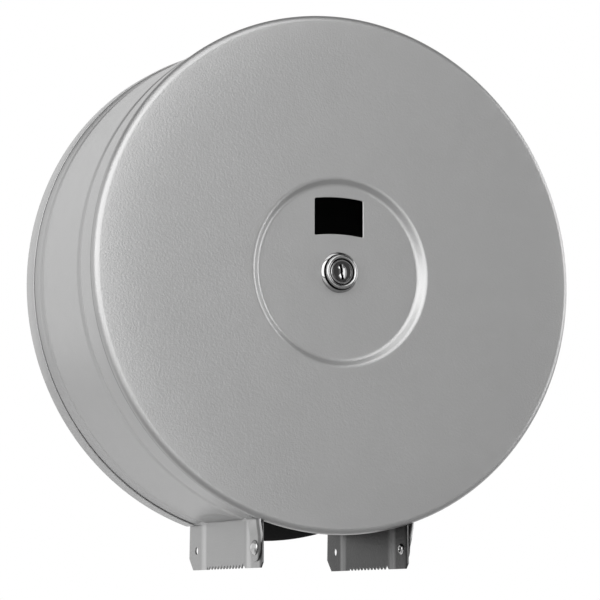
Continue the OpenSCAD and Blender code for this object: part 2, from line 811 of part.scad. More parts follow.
// Hub: an outer tube for the roll's core with a step at its rear, an inner tube for the bushes and
// ribs between.
module roll_hub() {
    color(dark_plastic) on_wall() union() {
        ring(hub_ro - hub_step, hub_ri, hub_rear, hub_l);
        ring(hub_ro, hub_ri, hub_rear + hub_disc_t, hub_l - hub_disc_t);
        ring(hub_inner_ro, hub_bore_r, hub_rear, hub_l);
        for (i = [0:hub_rib_count - 1])
            rotate([0, 0, 360 * i / hub_rib_count])
                translate([hub_inner_ro - over, -hub_rib_t / 2, hub_rear + rib_setback])
                    cube([hub_ri - hub_inner_ro + 2 * over, hub_rib_t, hub_l - 2 * rib_setback]);
    }
}

// Disc that keeps the roll off the liner, pushed onto the rear of the hub.
module hub_disc() {
    color(dark_plastic) on_wall()
        ring(hub_disc_d / 2, hub_ro - hub_step + fixed_gap, hub_rear, hub_disc_t);
}

module rear_bush() {
    color(bush_white) on_wall() ring(bush_ro, bush_ri, hub_rear, bush_l);
}

module front_bush() {
    color(bush_white) on_wall() ring(bush_ro, bush_ri, hub_front - bush_l, bush_l);
}

back_tray();
back_liner();
side_strip();
strip_brackets();
bracket_rivets();
spindle_base();
base_screws();
spindle();
rear_washer();
front_washer();
retaining_clip();
lock_keeper();
keeper_screw();
hinge_rivets();
front_cover();
lock_barrel();
lock_washer();
lock_nut();
lock_plug();
lock_cam();
cam_washer();
cam_screw();
roll_hub();
hub_disc();
rear_bush();
front_bush();
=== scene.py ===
"""Looks of the jumbo toilet roll dispenser: pressed sheet, paint, lock, hub and studio.

Sizes are millimetres and meshes are metres, in the part's own frame: +X to the right, +Y into
the wall, +Z up, with the origin in the middle of the wall plane. Depth is the distance from the
wall, so a point at depth d has Y = -d. Angles round the body start at +X and turn towards +Z.
"""

from __future__ import annotations

import json
import logging
import math
from dataclasses import dataclass, field
from enum import Enum
from typing import Callable, Sequence

import bmesh
import bpy
import numpy as np
from mathutils import Matrix, Vector
from mathutils.geometry import tessellate_polygon

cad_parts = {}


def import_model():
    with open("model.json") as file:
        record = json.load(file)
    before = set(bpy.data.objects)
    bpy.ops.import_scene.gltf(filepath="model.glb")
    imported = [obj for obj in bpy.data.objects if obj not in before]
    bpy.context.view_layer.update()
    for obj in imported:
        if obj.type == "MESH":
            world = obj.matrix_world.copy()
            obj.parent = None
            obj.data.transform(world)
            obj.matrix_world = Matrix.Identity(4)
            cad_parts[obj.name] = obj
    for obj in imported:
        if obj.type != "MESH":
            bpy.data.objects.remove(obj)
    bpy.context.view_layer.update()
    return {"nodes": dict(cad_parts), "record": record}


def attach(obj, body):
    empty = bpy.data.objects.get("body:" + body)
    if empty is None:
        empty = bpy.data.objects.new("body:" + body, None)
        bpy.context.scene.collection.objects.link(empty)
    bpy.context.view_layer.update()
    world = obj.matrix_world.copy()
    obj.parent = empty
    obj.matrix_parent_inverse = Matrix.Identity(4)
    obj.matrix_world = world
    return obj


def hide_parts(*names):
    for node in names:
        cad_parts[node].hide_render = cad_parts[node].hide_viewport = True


LOG = logging.getLogger("dispenser")

Array = np.ndarray
Pair = tuple[float, float]
Triple = tuple[float, float, float]
Tree = bpy.types.NodeTree
Socket = bpy.types.NodeSocket
Value = bpy.types.NodeSocket | float

# Metres in a millimetre, and the distance in metres within which points are welded.
MM = 0.001
WELD = 1e-6
# Radial gap between two parts that fit into each other, in millimetres.
PLAY = 0.03
# Straight pieces of a full turn, from large rings down to screw holes.
ROUND_STEPS = 360
TURNED_STEPS = 144
SMALL_STEPS = 96
HOLE_STEPS = 48


class Body(Enum):
    """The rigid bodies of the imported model."""

    HOUSING = "housing"
    COVER = "cover"
    LOCK_CORE = "lock_core"
    HUB = "hub"


class Slot(Enum):
    """The record's material slots."""

    GREY_PAINT = "grey_paint"
    BLACK_PLASTIC = "black_plastic"
    ZINC_STEEL = "zinc_steel"
    TURNED_STEEL = "turned_steel"
    BRIGHT_RIVET = "bright_rivet"
    LOCK_CHROME = "lock_chrome"
    WHITE_NYLON = "white_nylon"


class Side(Enum):
    """The two sides of the outlet; the value is the sign of x."""

    LEFT = -1
    RIGHT = 1


# ------------------------------------------------------------
# Surfaces
# ------------------------------------------------------------


def at_wall(x: Array, height: Array, depth: Array) -> Array:
    """Places points by their distance across, height and depth.

    Args:
        x: Distance to the right of the middle.
        height: Distance above the middle.
        depth: Distance from the wall.

    Returns:
        Points with x, -depth and height as their three coordinates.
    """
    x, height, depth = np.broadcast_arrays(x, height, depth)
    return np.stack([x, -depth, height], axis=-1).astype(float)


def arc(cx: float, cy: float, radius: float, start: float, end: float, steps: int) -> Array:
    """Points of a circular arc in a plane.

    Args:
        cx: First coordinate of the centre.
        cy: Second coordinate of the centre.
        radius: The arc's radius.
        start: First angle in degrees.
        end: Last angle in degrees.
        steps: Number of straight pieces.

    Returns:
        steps + 1 points, centre plus radius times cosine and sine.
    """
    a = np.radians(np.linspace(start, end, steps + 1))
    return np.stack([cx + radius * np.cos(a), cy + radius * np.sin(a)], axis=-1)


def ring_angles(steps: int = ROUND_STEPS) -> Array:
    """Angles of one full turn in radians, without the repeated last one."""
    return np.arange(steps) * (2 * math.pi / steps)


def circle(radius: float | Array, depth: float | Array, angles: Array, x: float = 0.0,
           z: float = 0.0) -> Array:
    """Points round an axis that points at the wall.

    A point at radius r and angle a lies at x + r cos a and z + r sin a.

    Args:
        radius: Distance from the axis, or one for each angle.
        depth: Depth, or one for each angle.
        angles: Angles in radians.
        x: Place of the axis, to the right.
        z: Place of the axis, upwards.

    Returns:
        One point for each angle.
    """
    return at_wall(x + radius * np.cos(angles), z + radius * np.sin(angles), depth)


def revolve(profile: Array, angles: Array, x: float = 0.0, z: float = 0.0) -> Array:
    """Turns a profile, given as rows of (radius, depth), into a grid with one row for each of them."""
    return circle(profile[:, :1], profile[:, 1:], angles, x, z)


def ring_section(outer: float, inner: float, rear: float, front: float, soft: float,
                 steps: int = 3) -> Array:
    """Closed section of a ring with softened corners.

    Args:
        outer: Outer radius.
        inner: Inner radius.
        rear: Depth of the rear face.
        front: Depth of the front face.
        soft: Radius of the four corners.
        steps: Number of straight pieces of a corner.

    Returns:
        Rows of (radius, depth), the first repeated at the end.
    """
    section = np.concatenate([
        arc(outer - soft, rear + soft, soft, -90, 0, steps),
        arc(outer - soft, front - soft, soft, 0, 90, steps),
        arc(inner + soft, front - soft, soft, 90, 180, steps),
        arc(inner + soft, rear + soft, soft, 180, 270, steps),
    ])
    return np.concatenate([section, section[:1]])


def smoothstep(low: float, high: float, value: Array) -> Array:
    """Rises from 0 at low to 1 at high along 3t^2 - 2t^3."""
    t = np.clip((value - low) / (high - low), 0.0, 1.0)
    return t * t * (3 - 2 * t)


class Patchwork:
    """A mesh made of grids and flat fills that are welded where their points meet."""

    def __init__(self) -> None:
        """Starts with no patch."""
        self.points: list[Array] = []
        self.faces: list[Array] = []
        self.flat: list[Array] = []
        self.count = 0

    def _add(self, points: Array, faces: Array, flat: bool) -> None:
        """Adds points and faces of four corners, a triangle having its last corner twice."""
        self.points.append(points.reshape(-1, 3))
        self.faces.append(faces.reshape(-1, 4) + self.count)
        self.flat.append(np.full(len(self.faces[-1]), flat))
        self.count += len(self.points[-1])

    def grid(self, points: Array, around: bool = False, keep: Array | None = None) -> "Patchwork":
        """Adds a surface that is given as a grid of points.

        Args:
            points: Array of rows, columns and three coordinates.
            around: Whether the last column joins the first.
            keep: Mask of the cells to keep, or None for all.

        Returns:
            The patchwork itself.
        """
        rows, columns = points.shape[:2]
        index = np.arange(rows * columns).reshape(rows, columns)
        if around:
            index = np.concatenate([index, index[:, :1]], axis=1)
        cells = np.stack([index[:-1, :-1], index[:-1, 1:], index[1:, 1:], index[1:, :-1]], axis=-1)
        self._add(points, cells if keep is None else cells[keep], flat=False)
        return self

    def strip(self, first: Array, second: Array, around: bool = True) -> "Patchwork":
        """Adds the band between two rows of as many points."""
        return self.grid(np.stack([first, second]), around=around)

    def fill(self, outline: Array, holes: Sequence[Array] = ()) -> "Patchwork":
        """Adds a flat face inside an outline, less its holes.

        Args:
            outline: Points in order round the face.
            holes: Points in order round each hole.

        Returns:
            The patchwork itself.
        """
        loops = [outline, *holes]
        centre = outline.mean(axis=0)
        across = outline[0] - centre
        normal = np.cross(across, outline[len(outline) // 4] - centre)
        u = across / np.linalg.norm(across)
        plane = np.stack([u, np.cross(normal / np.linalg.norm(normal), u)], axis=-1)
        flat = [[Vector((*(float(c) for c in (point - centre) @ plane), 0.0)) for point in loop]
                for loop in loops]
        triangles = np.array(tessellate_polygon(flat), dtype=np.int64)
        faces = np.concatenate([triangles, triangles[:, 2:]], axis=1)
        self._add(np.concatenate(loops), faces, flat=True)
        return self

    def build(self, name: str, crease: float = 35.0) -> bpy.types.Object:
        """Welds the patches into one object whose faces point outwards.

        Args:
            name: Name of the object.
            crease: Angle in degrees above which an edge is shaded sharp.

        Returns:
            The new object, linked to the scene.
        """
        points = np.concatenate(self.points) * MM
        keys = np.round(points / WELD).astype(np.int64)
        _, first, inverse = np.unique(keys, axis=0, return_index=True, return_inverse=True)
        corners = inverse.reshape(-1)[np.concatenate(self.faces)]
        repeated = corners == np.roll(corners, -1, axis=1)
        quads = repeated.sum(axis=1) == 0
        triangles = repeated.sum(axis=1) == 1
        loops = np.concatenate([corners[quads].ravel(), corners[triangles][~repeated[triangles]]])
        totals = np.concatenate([np.full(quads.sum(), 4), np.full(triangles.sum(), 3)])
        flags = np.concatenate(self.flat)
        flat = np.concatenate([flags[quads], flags[triangles]])

        mesh = bpy.data.meshes.new(name)
        mesh.vertices.add(len(first))
        mesh.vertices.foreach_set("co", points[first].astype(np.float32).ravel())
        mesh.loops.add(len(loops))
        mesh.loops.foreach_set("vertex_index", loops.astype(np.int32))
        mesh.polygons.add(len(totals))
        mesh.polygons.foreach_set("loop_start", (np.cumsum(totals) - totals).astype(np.int32))
        mesh.polygons.foreach_set("loop_total", totals.astype(np.int32))
        mesh.update(calc_edges=True)
        self._turn_outwards(mesh)
        mesh.shade_smooth()
        mesh.set_sharp_from_angle(angle=math.radians(crease))
        self._split_flats(mesh, np.repeat(flat, totals))
        piece = bpy.data.objects.new(name, mesh)
        bpy.context.scene.collection.objects.link(piece)
        return piece

    @staticmethod
    def _turn_outwards(mesh: bpy.types.Mesh) -> None:
        """Makes all faces of the closed mesh point outwards."""
        work = bmesh.new()
        work.from_mesh(mesh)
        bmesh.ops.recalc_face_normals(work, faces=work.faces)
        work.to_mesh(mesh)
        work.free()

    @staticmethod
    def _split_flats(mesh: bpy.types.Mesh, flat_loops: Array) -> None:
        """Marks the edges of flat fills sharp, so that no curved neighbour bends their shading."""
        edges = np.empty(len(mesh.loops), dtype=np.int32)
        mesh.loops.foreach_get("edge_index", edges)
        sharp = np.zeros(len(mesh.edges), dtype=bool)
        mark = mesh.attributes.get("sharp_edge") or mesh.attributes.new("sharp_edge", "BOOLEAN", "EDGE")
        mark.data.foreach_get("value", sharp)
        sharp[edges[flat_loops]] = True
        mark.data.foreach_set("value", sharp)


# ------------------------------------------------------------
# Finishes
# ------------------------------------------------------------


class Net:
    """Short ways to add nodes to a tree. A value is a number or another node's output."""

    def __init__(self, tree: Tree) -> None:
        """Works on a tree.

        Args:
            tree: The tree that the nodes are added to.
        """
        self.tree = tree

    def give(self, value: Value | tuple[float, ...], socket: Socket) -> None:
        """Links an output to a socket, or sets the socket to a constant."""
        if isinstance(value, Socket):
            self.tree.links.new(value, socket)
        else:
            socket.default_value = value

    def add(self, kind: str, **inputs: Value | tuple[float, ...]) -> bpy.types.Node:
        """Adds a node and gives it its inputs, with _ for the spaces in their names."""
        node = self.tree.nodes.new(kind)
        for name, value in inputs.items():
            self.give(value, node.inputs[name.replace("_", " ")])
        return node

    def math(self, operation: str, *values: Value) -> Socket:
        """Adds a Math node."""
        node = self.add("ShaderNodeMath")
        node.operation = operation
        for value, socket in zip(values, node.inputs):
            self.give(value, socket)
        return node.outputs[0]

    def plus(self, first: Value, second: Value) -> Socket:
        """Adds two values up."""
        return self.math("ADD", first, second)

    def less(self, first: Value, second: Value) -> Socket:
        """Takes the second value from the first."""
        return self.math("SUBTRACT", first, second)

    def product(self, first: Value, *others: Value) -> Socket:
        """Multiplies two or more values."""
        for other in others:
            first = self.math("MULTIPLY", first, other)
        return first

    def length(self, first: Socket, second: Socket) -> Socket:
        """Square root of the sum of two squares."""
        squares = self.plus(self.product(first, first), self.product(second, second))
        return self.math("SQRT", squares)

    def ramp(self, value: Socket, low: Value, high: Value, start: float = 0.0, end: float = 1.0,
             kind: str = "LINEAR") -> Socket:
        """Goes from start to end as the value goes from low to high, and stays there beyond."""
        node = self.add("ShaderNodeMapRange", Value=value, From_Min=low, From_Max=high, To_Min=start,
                        To_Max=end)
        node.interpolation_type = kind
        return node.outputs["Result"]

    def past(self, value: Value, limit: Value, soft: float) -> Socket:
        """Rises from 0 to 1 while the value passes the limit, soft on both sides of it."""
        return self.ramp(self.less(value, limit), -soft, soft)

    def blend(self, share: Socket, low: Value, high: Value) -> Socket:
        """Goes from low to high as share goes from 0 to 1."""
        return self.add("ShaderNodeMix", Factor=share, A=low, B=high).outputs["Result"]

    def split(self, vector: Socket) -> list[Socket]:
        """The three coordinates of a vector."""
        return list(self.add("ShaderNodeSeparateXYZ", Vector=vector).outputs)

    def vector(self, operation: str, first: Socket, second: Triple = (0, 0, 0)) -> Socket:
        """Adds a vector operation with a constant second input. A dot product gives a number."""
        node = self.add("ShaderNodeVectorMath")
        node.operation = operation
        self.give(first, node.inputs[0])
        self.give(second, node.inputs[1])
        return node.outputs["Value" if operation == "DOT_PRODUCT" else "Vector"]

    def seen(self, otherwise: Value, seen_as: float) -> Socket:
        """A constant on the camera's own rays and a value on all others."""
        camera = self.add("ShaderNodeLightPath").outputs["Is Camera Ray"]
        return self.blend(camera, otherwise, seen_as)


class Shader(Net):
    """A material with one Principled shader."""

    def __init__(self, name: str) -> None:
        """Makes the empty material.

        Args:
            name: Name of the material.
        """
        self.material = bpy.data.materials.new(name)
        self.material.use_nodes = True
        super().__init__(self.material.node_tree)
        self.surface = self.tree.nodes["Principled BSDF"]
        self.place = self.add("ShaderNodeTexCoord").outputs["Object"]

    def set(self, **values: Value | tuple[float, ...]) -> None:
        """Gives the Principled shader constants or outputs, with _ for the spaces in names."""
        for name, value in values.items():
            self.give(value, self.surface.inputs[name.replace("_", " ")])

    def group(self, tree: Tree, output: str, **values: float) -> Socket:
        """Adds a shared effect, fed with the object's own place.

        Args:
            tree: The effect's node group.
            output: Name of the output that is wanted.
            **values: Constants for the group's inputs.

        Returns:
            That output.
        """
        node = self.add("ShaderNodeGroup")
        node.node_tree = tree
        for name, value in {"Place": self.place, **values}.items():
            self.give(value, node.inputs[name.replace("_", " ")])
        return node.outputs[output]

    def bump(self, height: Socket, distance: float) -> None:
        """Feeds a height through a Bump node into the shader's normal.

        Args:
            height: The height, from 0 to 1.
            distance: What a height of 1 stands for, in metres.
        """
        self.set(Normal=self.add("ShaderNodeBump", Distance=distance, Height=height).outputs["Normal"])


class EffectGroup(Net):
    """A shader node group with named inputs and outputs, built once."""

    def __init__(self, name: str, inputs: dict[str, float], *outputs: str) -> None:
        """Makes the group's sockets.

        Args:
            name: Name of the group.
            inputs: Names and first values of its number inputs, beside Place.
            *outputs: Names of its number outputs.
        """
        super().__init__(bpy.data.node_groups.new(name, "ShaderNodeTree"))
        face = self.tree.interface
        face.new_socket("Place", in_out="INPUT", socket_type="NodeSocketVector")
        for key, value in inputs.items():
            face.new_socket(key, in_out="INPUT", socket_type="NodeSocketFloat").default_value = value
        for key in outputs:
            face.new_socket(key, in_out="OUTPUT", socket_type="NodeSocketFloat")
        self.inputs = self.add("NodeGroupInput").outputs
        self.outputs = self.add("NodeGroupOutput").inputs

    def __getitem__(self, name: str) -> Socket:
        """The value of one of the group's inputs."""
        return self.inputs[name]

    def close(self, **outputs: Socket) -> Tree:
        """Links the group's outputs and returns its tree."""
        for name, value in outputs.items():
            self.give(value, self.outputs[name])
        return self.tree

    def noise(self, scale: Value, detail: float, rough: float = 0.5) -> Socket:
        """Adds a noise texture on Place."""
        node = self.add("ShaderNodeTexNoise", Vector=self["Place"], Scale=scale, Detail=detail,
                        Roughness=rough)
        return node.outputs["Fac"]


class Effects:
    """The surface effects that several finishes share. Their lengths are in metres."""

    def __init__(self) -> None:
        """Builds every group once."""
        self.orange_peel = self._orange_peel()
        self.tone = self._tone()
        self.turning = self._turning()
        self.grain = self._grain()
        # painted shade on the tabs and in an oval above each fold
        self.painted_tab_shade = self._painted_tab_shade()
        # painted shade line on the strip behind the cover's lip
        self.joint = self._painted_lip_shade()
        # darker plug face and painted shade in the lock's clefts
        self.plug_face = self._plug_face()

    @staticmethod
    def _orange_peel() -> Tree:
        """Soft lumps of a powder coat with a finer grain on top."""
        group = EffectGroup("orange peel", {"Lumps per metre": 850.0, "Grains per lump": 3.1,
                                            "Fine share": 0.35}, "Height")
        lumps = group.noise(group["Lumps per metre"], 1.5, 0.45)
        fine = group.noise(group.product(group["Lumps per metre"], group["Grains per lump"]), 1.0)
        return group.close(Height=group.blend(group["Fine share"], lumps, fine))

    @staticmethod
    def _tone() -> Tree:
        """Slow and fine changes of tone over a surface, from Low to High."""
        group = EffectGroup("tone", {"Low": 0.4, "High": 0.5, "Patches per metre": 18.0}, "Value")
        mask = group.ramp(group.noise(group["Patches per metre"], 3.0), 0.3, 0.7)
        return group.close(Value=group.blend(mask, group["Low"], group["High"]))

    @staticmethod
    def _turning() -> Tree:
        """Fine rings round the body's axis, as a lathe leaves them."""
        group = EffectGroup("turning marks", {"Rings per metre": 2500.0, "Patches per metre": 900.0},
                            "Height")
        x, y, z = group.split(group["Place"])
        wave = group.math("SINE", group.product(group.plus(group.length(x, z), y),
                                                group["Rings per metre"]))
        return group.close(Height=group.product(wave, group.noise(group["Patches per metre"], 2.0)))

    @staticmethod
    def _painted_tab_shade() -> Tree:
        """Share of the tone that is left where shade is painted on the tabs and above the folds.

        The tabs carry painted shade, most of all on their inner faces, and less so in lighter bands
        that carry the grooves' lines on as painted highlights. A flat oval above each fold, on the
        crease, carries painted shade too.
        """
        group = EffectGroup("thin coat", {
            "Fold": -0.1462, "Front": -0.1173, "Middle": -0.001, "Half width": 0.0464, "Reach": 0.0484,
            "Outer share": 0.8, "Inner share": 0.25, "Rear groove": 0.0265, "Front groove": 0.097,
            "Groove half": 0.0052, "Groove share": 0.36, "Shade oval reach": 0.0115,
            "Shade oval middle": 0.0598, "Shade oval half": 0.0293, "Shade oval share": 0.7}, "Share")
        edge, fold_soft, end_soft, groove_soft = 0.0001, 0.0008, 0.0012, 0.0032
        x, y, z = group.split(group["Place"])
        away = group.math("ABSOLUTE", group.less(x, group["Middle"]))
        on_tab = group.product(group.ramp(group.less(group["Fold"], z), -2 * edge, fold_soft),
                               group.past(y, group["Front"], edge),
                               group.ramp(group.less(group["Reach"], away), -end_soft, 0.0))
        inside = group.past(group["Half width"], away, edge)
        bands = []
        for place in ("Rear groove", "Front groove"):
            off = group.math("ABSOLUTE", group.plus(y, group[place]))
            bands.append(group.ramp(group.less(group["Groove half"], off), 0.0, groove_soft))
        # painted shade on the tabs, darkest on their inner faces, lifted by painted highlight bands along the
        # grooves
        tab = group.plus(group.blend(inside, group["Outer share"], group["Inner share"]),
                         group.product(group.plus(*bands), group["Groove share"]))
        along = group.math("DIVIDE", group.plus(y, group["Shade oval middle"]), group["Shade oval half"])
        off = group.math("DIVIDE", group.length(group.less(away, group["Reach"]),
                                                group.less(z, group["Fold"])), group["Shade oval reach"])
        oval = group.plus(group.product(along, along), group.product(off, off))
        # painted shade in a flat oval above each fold
        crease = group.ramp(group.less(1.0, oval), -0.1, 0.25)
        rest = group.blend(crease, 1.0, group["Shade oval share"])
        return group.close(Share=group.blend(on_tab, rest, tab))

    @staticmethod
    def _painted_lip_shade() -> Tree:
        """Share of the tone that is left in a painted shade line on the strip just behind the cover's lip."""
        group = EffectGroup("joint", {"Radius": 0.153, "Rear": 0.1128, "Full shade": 0.1146, "Lip": 0.1182,
                                      "Share left": 0.5}, "Share")
        edge = 0.0002
        x, y, z = group.split(group["Place"])
        depth = group.product(y, -1.0)
        out = group.past(group.length(x, z), group["Radius"], edge)
        behind = group.math("DIVIDE", group.less(depth, group["Rear"]),
                            group.less(group["Full shade"], group["Rear"]))
        before = group.ramp(group.less(group["Lip"], depth), 0.0, 2 * edge)
        # painted shade on the strip, rising behind the cover's lip and full up to it
        lip_shade = group.product(group.ramp(behind, 0.0, 1.0), before, out)
        return group.close(Share=group.blend(lip_shade, 1.0, group["Share left"]))

    @staticmethod
    def _plug_face() -> Tree:
        """Share of a lock's tone that is left on the darker plug face and in its clefts.

        The clefts are the keyway, the neck behind the rim and the gap between rim and plug, where
        shade is painted nearly black.
        """
        group = EffectGroup("plug face", {
            "Darker face radius": 0.0063, "Darker face depth": 0.1237, "Slot radius": 0.0052, "Slot depth": 0.12325,
            "Slot end": 0.1185, "Neck radius": 0.009, "Neck depth": 0.12165, "Neck end": 0.1236,
            "Gap radius": 0.00728, "Gap end": 0.00785, "Gap depth": 0.1239, "Darker face share": 0.3,
            "Dark share": 0.02}, "Share")
        edge = 0.00005
        x, y, z = group.split(group["Place"])
        radius, depth = group.length(x, z), group.product(y, -1.0)

        def past(value: Socket, limit: str) -> Socket:
            """Rises sharply from 0 to 1 as the value passes the limit."""
            return group.past(value, group[limit], edge)

        def within(value: Socket, low: str, high: str) -> Socket:
            """Is 1 while the value lies between the limits."""
            return group.less(past(value, low), past(value, high))

        def before(value: Socket, limit: str) -> Socket:
            """Is 1 while the value is below the limit."""
            return group.less(1.0, past(value, limit))

        darker_face = group.product(past(depth, "Darker face depth"), before(radius, "Darker face radius"))
        slot = group.product(within(depth, "Slot end", "Slot depth"), before(radius, "Slot radius"))
        neck = group.product(within(depth, "Neck depth", "Neck end"), past(radius, "Neck radius"))
        gap = group.product(within(radius, "Gap radius", "Gap end"), before(depth, "Gap depth"))
        # painted shade in the keyway, the neck and the gap between rim and plug
        dark = group.math("MAXIMUM", slot, group.math("MAXIMUM", neck, gap))
        face = group.blend(darker_face, 1.0, group["Darker face share"])
        return group.close(Share=group.blend(dark, face, group["Dark share"]))

    @staticmethod
    def _grain() -> Tree:
        """Fine moulded or plated grain."""
        group = EffectGroup("grain", {"Grains per metre": 1500.0}, "Height")
        return group.close(Height=group.noise(group["Grains per metre"], 3.0, 0.6))


@dataclass(frozen=True)
class PowderCoat:
    """Satin silver-grey powder coat with an orange peel surface, and painted shade on the tabs, above the
    folds and behind the cover's lip.
    """

    tone_low: float = 0.405
    tone_high: float = 0.415
    metallic: float = 0.7
    roughness: float = 0.34
    rough_spread: float = 0.012
    rough_patches: float = 90.0
    peel_height: float = 0.00013
    tab_shade: float = 0.76
    inner_shade: float = 0.09
    joint_shade: float = 0.3

    def material(self, effects: Effects) -> bpy.types.Material:
        """Builds the material."""
        shader = Shader("grey paint")
        tone = shader.group(effects.tone, "Value", Low=self.tone_low, High=self.tone_high)
        # painted shade on the tabs and above the folds
        tab_shade_share = shader.group(effects.painted_tab_shade, "Share", Outer_share=self.tab_shade,
                            Inner_share=self.inner_shade)
        # painted shade line on the strip behind the cover's lip
        joint = shader.group(effects.joint, "Share", Share_left=self.joint_shade)
        rough = shader.group(effects.tone, "Value", Low=self.roughness - self.rough_spread,
                             High=self.roughness + self.rough_spread,
                             Patches_per_metre=self.rough_patches)
        shader.set(Base_Color=shader.product(tone, tab_shade_share, joint), Metallic=self.metallic, Roughness=rough)
        shader.bump(shader.group(effects.orange_peel, "Height"), self.peel_height)
        return shader.material


@dataclass(frozen=True)
class MouldedPlastic:
    """Plain moulded plastic with a fine grain; warmth is the share that blue loses."""

    name: str
    low: float
    high: float
    warmth: float = 0.0
    roughness: float = 0.5
    smoother: float = 0.05
    rougher: float = 0.08
    tone_patches: float = 40.0
    rough_patches: float = 90.0
    specular: float = 0.4
    grains: float = 1400.0
    grain_height: float = 0.00004

    def material(self, effects: Effects) -> bpy.types.Material:
        """Builds the material."""
        shader = Shader(self.name)
        tone = shader.group(effects.tone, "Value", Low=self.low, High=self.high,
                            Patches_per_metre=self.tone_patches)
        tint = shader.add("ShaderNodeCombineColor")
        for share, socket in zip((1.0, 1.0 - self.warmth / 2, 1.0 - self.warmth), tint.inputs):
            shader.give(shader.product(tone, share), socket)
        rough = shader.group(effects.tone, "Value", Low=self.roughness - self.smoother,
                             High=self.roughness + self.rougher, Patches_per_metre=self.rough_patches)
        shader.set(Base_Color=tint.outputs["Color"], Roughness=rough, Specular_IOR_Level=self.specular)
        shader.bump(shader.group(effects.grain, "Height", Grains_per_metre=self.grains),
                    self.grain_height)
        return shader.material


@dataclass(frozen=True)
class Metal:
    """Bare or plated metal, turned or plain; a keyed one has a darker plug face and painted shade in its
    clefts.
    """

    name: str
    low: float
    high: float
    roughness: float
    turned: bool = False
    mark_height: float = 0.000004
    keyed: bool = False
    smoother: float = 0.8
    rougher: float = 1.25
    tone_patches: float = 120.0
    rough_patches: float = 200.0

    def material(self, effects: Effects) -> bpy.types.Material:
        """Builds the material."""
        shader = Shader(self.name)
        tone = shader.group(effects.tone, "Value", Low=self.low, High=self.high,
                            Patches_per_metre=self.tone_patches)
        # darker plug face and painted shade in the lock's clefts
        if self.keyed:
            tone = shader.product(tone, shader.group(effects.plug_face, "Share"))
        rough = shader.group(effects.tone, "Value", Low=self.roughness * self.smoother,
                             High=self.roughness * self.rougher, Patches_per_metre=self.rough_patches)
        shader.set(Base_Color=tone, Metallic=1.0, Roughness=rough)
        marks = effects.turning if self.turned else effects.grain
        shader.bump(shader.group(marks, "Height"), self.mark_height)
        return shader.material


class Palette:
    """One material for each slot of the record."""

    def __init__(self) -> None:
        """Builds every material."""
        effects = Effects()
        finishes = {
            Slot.GREY_PAINT: PowderCoat(),
            Slot.BLACK_PLASTIC: MouldedPlastic("black plastic", 0.012, 0.02, roughness=0.55),
            Slot.ZINC_STEEL: Metal("zinc steel", 0.52, 0.62, 0.34),
            Slot.TURNED_STEEL: Metal("turned steel", 0.48, 0.56, 0.28, turned=True, mark_height=0.000012),
            Slot.BRIGHT_RIVET: Metal("bright rivet", 0.5, 0.58, 0.14),
            Slot.LOCK_CHROME: Metal("lock chrome", 0.36, 0.42, 0.05, keyed=True),
            Slot.WHITE_NYLON: MouldedPlastic("white nylon", 0.66, 0.72, warmth=0.06, roughness=0.42),
        }
        self.materials = {slot: finish.material(effects) for slot, finish in finishes.items()}

    def __getitem__(self, slot: Slot) -> bpy.types.Material:
        """The material of a slot."""
        return self.materials[slot]


# ------------------------------------------------------------
# Sub-assemblies
# ------------------------------------------------------------


def place(piece: bpy.types.Object, body: Body, slot: Slot, palette: Palette, *nodes: str) -> None:
    """Dresses a piece, fixes it to its body and lets it stand for CAD nodes.

    Args:
        piece: The new object.
        body: The body that it moves with.
        slot: The record's slot that it takes its finish from.
        palette: The material of every slot.
        *nodes: The CAD nodes that it replaces.
    """
    piece.data.materials.clear()
    piece.data.materials.append(palette[slot])
    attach(piece, body.value)
    if nodes:
        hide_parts(*nodes)
    LOG.info("%s: %d faces on %s", piece.name, len(piece.data.polygons), body.value)


